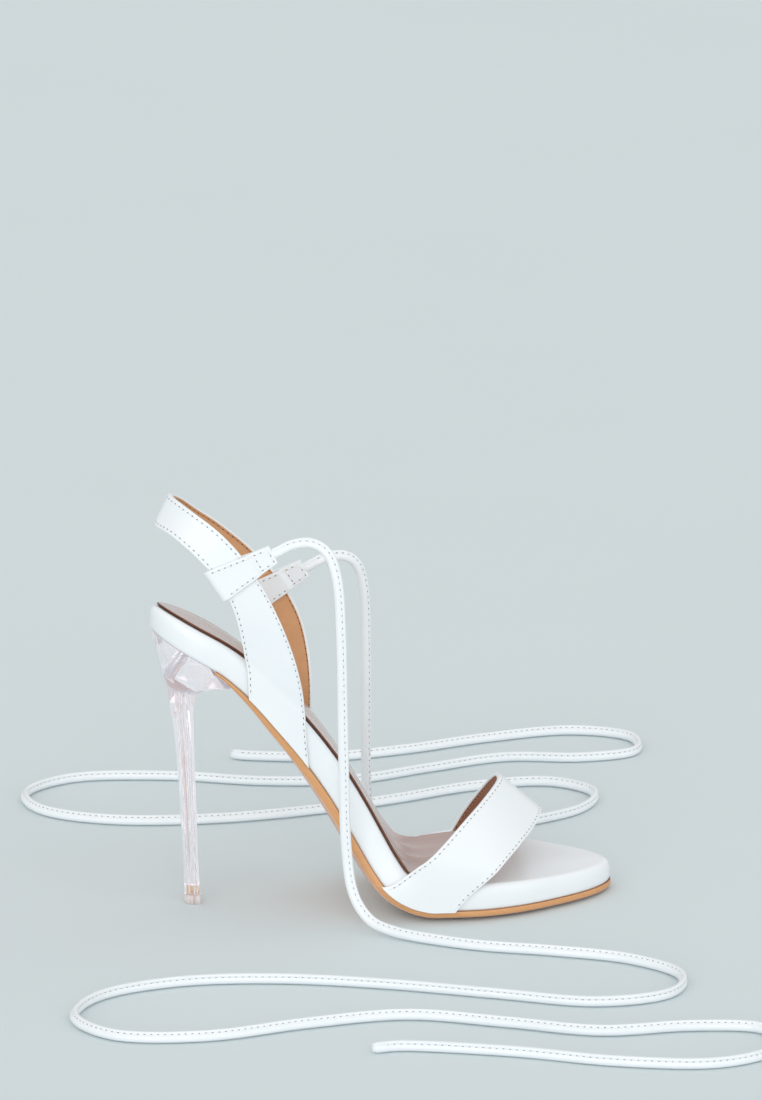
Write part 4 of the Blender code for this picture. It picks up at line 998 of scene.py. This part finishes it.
for keeper_name, station, tilt in (("keeper_outer", 8.2, 27.5), ("keeper_inner", 18.33, 29.0)):
    spot = KeeperPlace(station, tilt)
    apart = STRAP_WALL / 2 + KEEPER_CLEARANCE + KEEPER_WALL / 2
    shut = (KEEPER_SLIT + KEEPER_WALL) / 2
    tab_end = spot.tab_end
    closing = np.linspace(1, 0, 9)
    # The strip runs along the tab, opens round the sling, passes over it, folds and comes back beneath it
    outer = [(tab_end - share * 0.9 * KEEPER_TAB, shut) for share in np.linspace(0, 0.72, 7)]
    for share in closing:
        opened = shut + smooth_share(1 - share) * (apart - shut)
        outer.append((spot.high + KEEPER_CLEARANCE + share * KEEPER_CLOSING, opened))
    outer += [(spot.low + share * (spot.high - spot.low), apart) for share in np.linspace(0.92, 0.08, 12)]
    turn = np.radians(np.linspace(90, 270, 15))
    fold = [(spot.low + apart * math.cos(angle), apart * math.sin(angle)) for angle in turn]
    inner = [(ahead, -offset) for ahead, offset in reversed(outer)]
    path = np.array(outer + fold + inner)
    grid = []
    for spread in np.linspace(-0.5, 0.5, KEEPER_ACROSS):
        along = spread * spot.width(path[:, 0])
        grid.append(spot.point(spot.leaned(path[:, 0], along), along, path[:, 1]))
    grid = np.stack(grid, axis=1)
    mesh = grid_mesh(keeper_name + "_strip", grid)
    strip = new_piece(keeper_name + "_strip", mesh, [white_leather], keeper_name)
    thickened(strip, KEEPER_WALL, 0, KEEPER_EDGE)
    sewn = []
    run_out = np.linspace(tab_end - KEEPER_INSET, spot.low, 40)
    clear = spot.high + KEEPER_CLEARANCE
    ends = (spot.low, clear, clear + KEEPER_CLOSING, tab_end)
    offsets = np.interp(run_out, ends, (apart, apart, shut, shut))
    for way_out in (1, -1):
        for side in (1, -1):
            along = side * (spot.width(run_out) / 2 - KEEPER_INSET)
            sewn.append(spot.sewn_row(run_out, along, offsets, way_out, KEEPER_SEAM_END))
        for ahead in (tab_end - KEEPER_INSET, clear + KEEPER_CLOSING + KEEPER_BOX):
            reach = spot.width(ahead) / 2 - KEEPER_INSET
            along = np.linspace(-reach, reach, 9)
            sewn.append(spot.sewn_row(np.full(9, ahead), along, np.full(9, shut), way_out))
    stitched(keeper_name + "_stitches", sewn, [white_thread, needle_hole])


# Heel. Clear acrylic, injection moulded in one piece and polished: a cup under the seat that runs down into
# a thin stem with a round back and a flat breast, bored for its screw and for the tip's pin.
HEEL_INSET = 0.0009
HEEL_CUP_LENGTH = 0.172 * BED_LENGTH    # seen from above, heel end to front lip
STEM_WIDTH = 0.0078
STEM_DEPTH = 0.0066
TIP_HEIGHT = 0.0040
TIP_EDGE = 0.0004
PIN_RADIUS = 0.0021
PIN_HEIGHT = 0.0036
SCREW_RADIUS = 0.0019
SCREW_LENGTH = 0.0120
SCREW_PLACE = 0.1027 * BED_LENGTH       # along the sole, from its heel end
# Sections down the heel. back and front are shares of HEEL_CUP_LENGTH forward of the tip's centre, back_up
# and front_up shares of the seat's height, width a share between stem and seat, round the share of the depth
# that the round back takes, and hollow the share of it that the breast is hollowed by.
HEEL_SECTIONS = (
    (-0.465, 0.958, 0.455, 0.818, 1.00, 0.68, 0.00),
    (-0.430, 0.925, 0.350, 0.815, 0.93, 0.70, 0.06),
    (-0.396, 0.893, 0.225, 0.809, 0.82, 0.74, 0.12),
    (-0.366, 0.860, 0.130, 0.798, 0.66, 0.80, 0.16),
    (-0.330, 0.818, 0.064, 0.776, 0.46, 0.84, 0.16),
    (-0.287, 0.768, 0.028, 0.738, 0.30, 0.85, 0.13),
    (-0.257, 0.710, 0.020, 0.690, 0.19, 0.82, 0.09),
    (-0.221, 0.640, 0.026, 0.630, 0.12, 0.78, 0.05),
    (-0.185, 0.540, 0.036, 0.536, 0.07, 0.72, 0.00),
    (-0.152, 0.420, 0.050, 0.420, 0.04, 0.68, 0.00),
    (-0.131, 0.290, 0.062, 0.290, 0.02, 0.66, 0.00),
    (-0.107, 0.150, 0.076, 0.150, 0.00, 0.65, 0.00),
)
STEM_ROUND = 0.65          # share of the stem's depth that its round back takes
STEM_HOLLOW = 0.14         # share of the stem's depth that its breast is hollowed by
HEEL_CREASE = math.radians(34)          # edges sharper than this stay crisp
HEEL_STEPS = 34
HEEL_ACROSS = 12
SOLE_STEP = 0.0012
SECTION_STEPS = 4
# Shallow flutes down the stem's sides: middle and breadth as shares of its depth, share of its width
FLUTES = ((0.36, 0.06, 0.16), (0.62, 0.05, 0.24), (0.84, 0.04, 0.14))


def heel_half(run):
    """Half of the heel's width under the seat."""
    return bed_value("half", run) * BALL_WIDTH - HEEL_INSET


def heel_grids():
    """The heel's top under the seat, and its rings from there down to the tip."""
    lip_run = np.interp(HEEL_CUP_LENGTH - HEEL_OVERHANG, bed_x, bed_run)
    step_runs = (OUTSOLE_START - 2 * SOLE_STEP, OUTSOLE_START - SOLE_STEP)
    shares = 1 - np.cos(np.linspace(0, math.pi / 2, HEEL_STEPS))
    back_runs = HEEL_INSET + shares * (step_runs[0] - HEEL_INSET)
    runs = np.array([*back_runs, step_runs[1], (step_runs[1] + lip_run) / 2, lip_run])
    shares = (runs - HEEL_INSET) / (lip_run - HEEL_INSET)
    spreads = np.linspace(-1, 1, HEEL_ACROSS + 1)
    halves = heel_half(runs) * rounding(runs - HEEL_INSET, HEEL_ROUND - HEEL_INSET, 2)
    under_sole = np.clip((runs - OUTSOLE_START) / SOLE_STEP + 2, 0, 1)
    centre = bed_value("centre", runs) * BALL_WIDTH
    top = []
    for spread in spreads:
        across = halves * spread / np.maximum(full_half(runs), MEETING)
        depth = GAP + under_sole * outsole_depth(runs, across)
        top.append(bed_point(runs, across, centre + halves * spread, -depth))
    top = np.stack(top, axis=1)

    def ring(side_points, front_points):
        outer, inner = side_points
        return np.concatenate([outer, front_points[1:-1], inner[::-1][:-1]])

    rings = [ring((top[:, 0], top[:, -1]), top[-1])]
    seat_height = bed_z[0]
    stem = (-STEM_DEPTH / 2 / HEEL_CUP_LENGTH, (TIP_HEIGHT + GAP) / seat_height)
    last = (*stem, -stem[0], stem[1], 0.0, STEM_ROUND, 0.0)
    sections = curve_through((*HEEL_SECTIONS, last), SECTION_STEPS)
    for back, back_up, front, front_up, width, round_share, hollow in sections:
        low = np.array([back * HEEL_CUP_LENGTH, 0, back_up * seat_height])
        high = np.array([front * HEEL_CUP_LENGTH, 0, front_up * seat_height])
        half = STEM_WIDTH / 2 + width * (heel_half(runs) - STEM_WIDTH / 2)
        half = half * rounding(shares, round_share, 2)
        slim = np.clip(1.15 - 2.2 * width, 0, 1)    # 1 down the stem, 0 in the cup
        for middle, breadth, share_deep in FLUTES:
            half = half * (1 - slim * share_deep * np.exp(-((shares - middle) / breadth) ** 2))
        middle = low + shares[:, None] * (high - low)
        sides = [middle + np.outer(half, (0, way, 0)) for way in (-1, 1)]
        inset = 1 - max(hollow, STEM_HOLLOW * slim) * (1 - spreads ** 2)
        face = low + inset[:, None] * (high - low) + np.outer(half[-1] * spreads, (0, 1, 0))
        rings.append(ring(sides, face))
    return top, np.array(rings)


def seat_point(depth):
    """A point square below the footbed's underside, on the line of the heel screw."""
    slope = np.interp(SCREW_PLACE, bed_run, bed_slope)
    depth = depth - side_lift(SCREW_PLACE, 0)
    x = np.interp(SCREW_PLACE, bed_run, bed_x) + math.sin(slope) * depth
    z = np.interp(SCREW_PLACE, bed_run, bed_z) - math.cos(slope) * depth
    return (x, 0, z)


def round_bar(name, low, high, radius, relief, rings, around):
    """A round bar between two points, whose radius changes by relief of share along and angle."""
    low, high = np.array(low, float), np.array(high, float)
    way = unit(high - low)
    side = unit(np.cross(way, (0, 1.0, 0)))
    other = np.cross(way, side)
    shares = np.linspace(0, 1, rings)[:, None]
    angles = np.linspace(0, 2 * math.pi, around + 1)[None, :-1]
    sizes = (radius + relief(shares, angles))[..., None]
    spots = low + shares[..., None] * (high - low)
    grid = spots + sizes * (np.cos(angles)[..., None] * side + np.sin(angles)[..., None] * other)
    return grid_mesh(name, grid, True, True, True)


def fine_marks(tree, shader, scale, polished, dull):
    """Varies the roughness over fine marks."""
    roughened(tree, shader, texture(tree, "Noise", {"Scale": scale}), polished, dull)


# Moulded clear plastic (acrylic), polished: see-through with bright edges. A faint lilac glow is painted
# light that lifts its shadows, and the melt's flow leaves faint upright streaks.
clear_plastic, tree, shader = new_material("clear_moulded_acrylic", {
    "Base Color": linear("#FFFBFE"), "IOR": 1.49, "Transmission Weight": 0.90,
    "Emission Color": linear("#F3F0FA"), "Emission Strength": 0.055,
})
place = add_node(tree, "ShaderNodeTexCoord", {})
stretch = add_node(tree, "ShaderNodeMapping", {"Scale": (1, 1, 0.008)}, [("Vector", place, "Object")])
flow = add_node(tree, "ShaderNodeTexNoise", {"Scale": 620.0, "Detail": 1.0},
                [("Vector", stretch, "Vector")])
roughened(tree, shader, flow, 0.02, 0.07)
raised(tree, shader, flow, "Fac", 0.02, 0.0001)

# Steel, turned and nickel plated: bright silver.
plated_screw, tree, shader = new_material("nickel_plated_steel", {
    "Base Color": linear("#DCDCE0"), "Metallic": 1.0,
})
fine_marks(tree, shader, 2500.0, 0.15, 0.3)

# Steel, zinc plated yellow and cut: brass coloured with fine turning marks.
plated_steel, tree, shader = new_material("yellow_plated_steel", {
    "Base Color": linear("#CFA65A"), "Metallic": 1.0,
})
fine_marks(tree, shader, 2500.0, 0.22, 0.42)

top, rings = heel_grids()
form = bmesh.new()
for points, closed_round in ((top, False), (rings, True)):
    rows = [[form.verts.new(point) for point in row] for row in points]
    columns = len(rows[0])
    for row, following in zip(rows, rows[1:]):
        for column in range(columns if closed_round else columns - 1):
            after = (column + 1) % columns
            form.faces.new((row[column], row[after], following[after], following[column]))
form.faces.new(rows[-1])
bmesh.ops.remove_doubles(form, verts=form.verts, dist=MEETING)
bmesh.ops.recalc_face_normals(form, faces=form.faces)
mesh = bpy.data.meshes.new("clear_heel")
form.to_mesh(mesh)
form.free()
mesh.shade_smooth()
heel = new_piece("clear_heel", mesh, [clear_plastic], "heel")
foot = TIP_HEIGHT + GAP
bores = (
    ("pin_bore", (0, 0, foot - TIP_HEIGHT / 2), (0, 0, foot + PIN_HEIGHT + GAP), PIN_RADIUS + GAP),
    ("screw_bore", seat_point(-TIP_HEIGHT / 2), seat_point(GAP + SCREW_LENGTH + GAP), SCREW_RADIUS + GAP),
)
for bore_name, low, high, radius in bores:
    drill_mesh = round_bar(bore_name, low, high, radius, lambda share, angle: 0 * share * angle, 2, 32)
    hole = heel.modifiers.new("Bore", "BOOLEAN")
    hole.object = placed(bore_name, drill_mesh)
    hole.solver = "EXACT"
finished(heel, HEEL_CREASE)
for bore in bores:
    bpy.data.objects.remove(bpy.data.objects[bore[0]])

# Heel screw and the tip's knurled pin. Both are turned steel; the screw's thread is 1.1 mm a turn.
CUT_DEPTH = 0.0002
SCREW_TURNS = 11
KNURL_RIBS = 9
KNURL_SLANT = 12           # radians over the pin's height, counted over all its ribs


def thread_relief(share, angle):
    """The screw's single winding thread."""
    return CUT_DEPTH * np.sin(angle + 2 * math.pi * share * SCREW_TURNS)


def knurl_relief(share, angle):
    """Two crossed sets of slanting ribs."""
    ribs, slant = KNURL_RIBS * angle, KNURL_SLANT * share
    return CUT_DEPTH * np.sin(ribs + slant) * np.sin(ribs - slant)


mesh = round_bar("seat_screw", seat_point(GAP), seat_point(GAP + SCREW_LENGTH), SCREW_RADIUS - CUT_DEPTH,
                 thread_relief, 90, 24)
new_piece("seat_screw", mesh, [plated_screw], "heel_screw")
mesh = round_bar("knurled_pin", (0, 0, foot), (0, 0, foot + PIN_HEIGHT), PIN_RADIUS - CUT_DEPTH,
                 knurl_relief, 30, 90)
new_piece("knurled_pin", mesh, [plated_steel], "tip_pin")


# Heel tip. The replaceable lift that the heel stands on: tough translucent polyurethane, moulded to the
# stem's outline, milky with a pink cast and a dull ground rim.
milky_plastic, tree, shader = new_material("translucent_polyurethane", {
    "Base Color": linear("#FDF0ED"), "IOR": 1.5, "Transmission Weight": 0.3, "Subsurface Weight": 0.2,
    "Subsurface Radius": (0.002, 0.0012, 0.001), "Subsurface Scale": 1.0,
})
fine_marks(tree, shader, 900.0, 0.28, 0.45)
base = rings[-1]
spread = np.abs(base).max(axis=0)[:2]
levels = (
    (0.0, TIP_EDGE), (0.0001, TIP_EDGE / 2), (TIP_EDGE, 0.0), (TIP_HEIGHT / 2, 0.0),
    (TIP_HEIGHT - TIP_EDGE / 2, 0.0), (TIP_HEIGHT, TIP_EDGE / 2),
)
grid = [np.column_stack([base[:, :2] * (1 - inset / spread), np.full(len(base), z)]) for z, inset in levels]
mesh = grid_mesh("top_lift", np.array(grid), True, True, True)
tip = new_piece("top_lift", mesh, [milky_plastic], "heel_tip")
finished(tip)


# Floor and light. A plain pale blue grey sweep, lit by a wide soft source from the upper left and by the
# even white walls of the studio.
FLOOR_REACH = 12
corners = [(x * FLOOR_REACH, y * FLOOR_REACH, 0) for x, y in ((-1, -1), (1, -1), (1, 1), (-1, 1))]
floor_mesh = new_mesh("studio_floor", corners, [(0, 1, 2, 3)], [0])
floor = placed("studio_floor", floor_mesh)
paper, tree, shader = new_material("matt_paper_sweep", {"Roughness": 0.9, "Specular IOR Level": 0.1})
clouded(tree, shader, "#D9E3E5", "#DCE6E8", 3.0)
floor_mesh.materials.append(paper)
floor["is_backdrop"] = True
bpy.context.scene.view_settings.view_transform = "Standard"
world = bpy.data.worlds.new("studio")
bpy.context.scene.world = world
world.use_nodes = True
tree = world.node_tree
way = add_node(tree, "ShaderNodeTexCoord", {})
parts = add_node(tree, "ShaderNodeSeparateXYZ", {}, [("Vector", way, "Generated")])
sideways = add_node(tree, "ShaderNodeMath", {"operation": "ABSOLUTE"}, [(0, parts, "X")])
banks = add_node(tree, "ShaderNodeValToRGB", {}, [("Fac", sideways, "Value")])
stops = banks.color_ramp.elements
for spot, level in ((0.0, 0.67), (0.28, 0.67), (0.42, 0.45), (0.52, 1.0), (0.72, 1.0), (0.86, 0.45)):
    stop = stops[0] if spot == 0 else stops.new(spot)
    stop.color = (level, level, level, 1)
stops[-1].color = (0.80, 0.80, 0.80, 1)
tree.links.new(banks.outputs["Color"], tree.nodes["Background"].inputs["Color"])
tree.nodes["Background"].inputs["Strength"].default_value = 1.0
for light_name, aim, strength, spread_deg in (
    ("key", (0.30, 0.90, -0.42), 0.85, 50), ("fill", (-0.45, 0.85, -0.25), 0.45, 80),
):
    lamp = bpy.data.lights.new(light_name, "SUN")
    lamp.energy = strength
    lamp.angle = math.radians(spread_deg)
    placed(light_name, lamp).matrix_world = Vector(aim).to_track_quat("-Z", "Y").to_matrix().to_4x4()
bpy.context.scene.cycles.max_bounces = 24
bpy.context.scene.cycles.transmission_bounces = 24


# Size of the shoe before and after it is dressed
rows = [[[float(v) for v in corner] for corner in box] for box in (cad_box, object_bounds())]
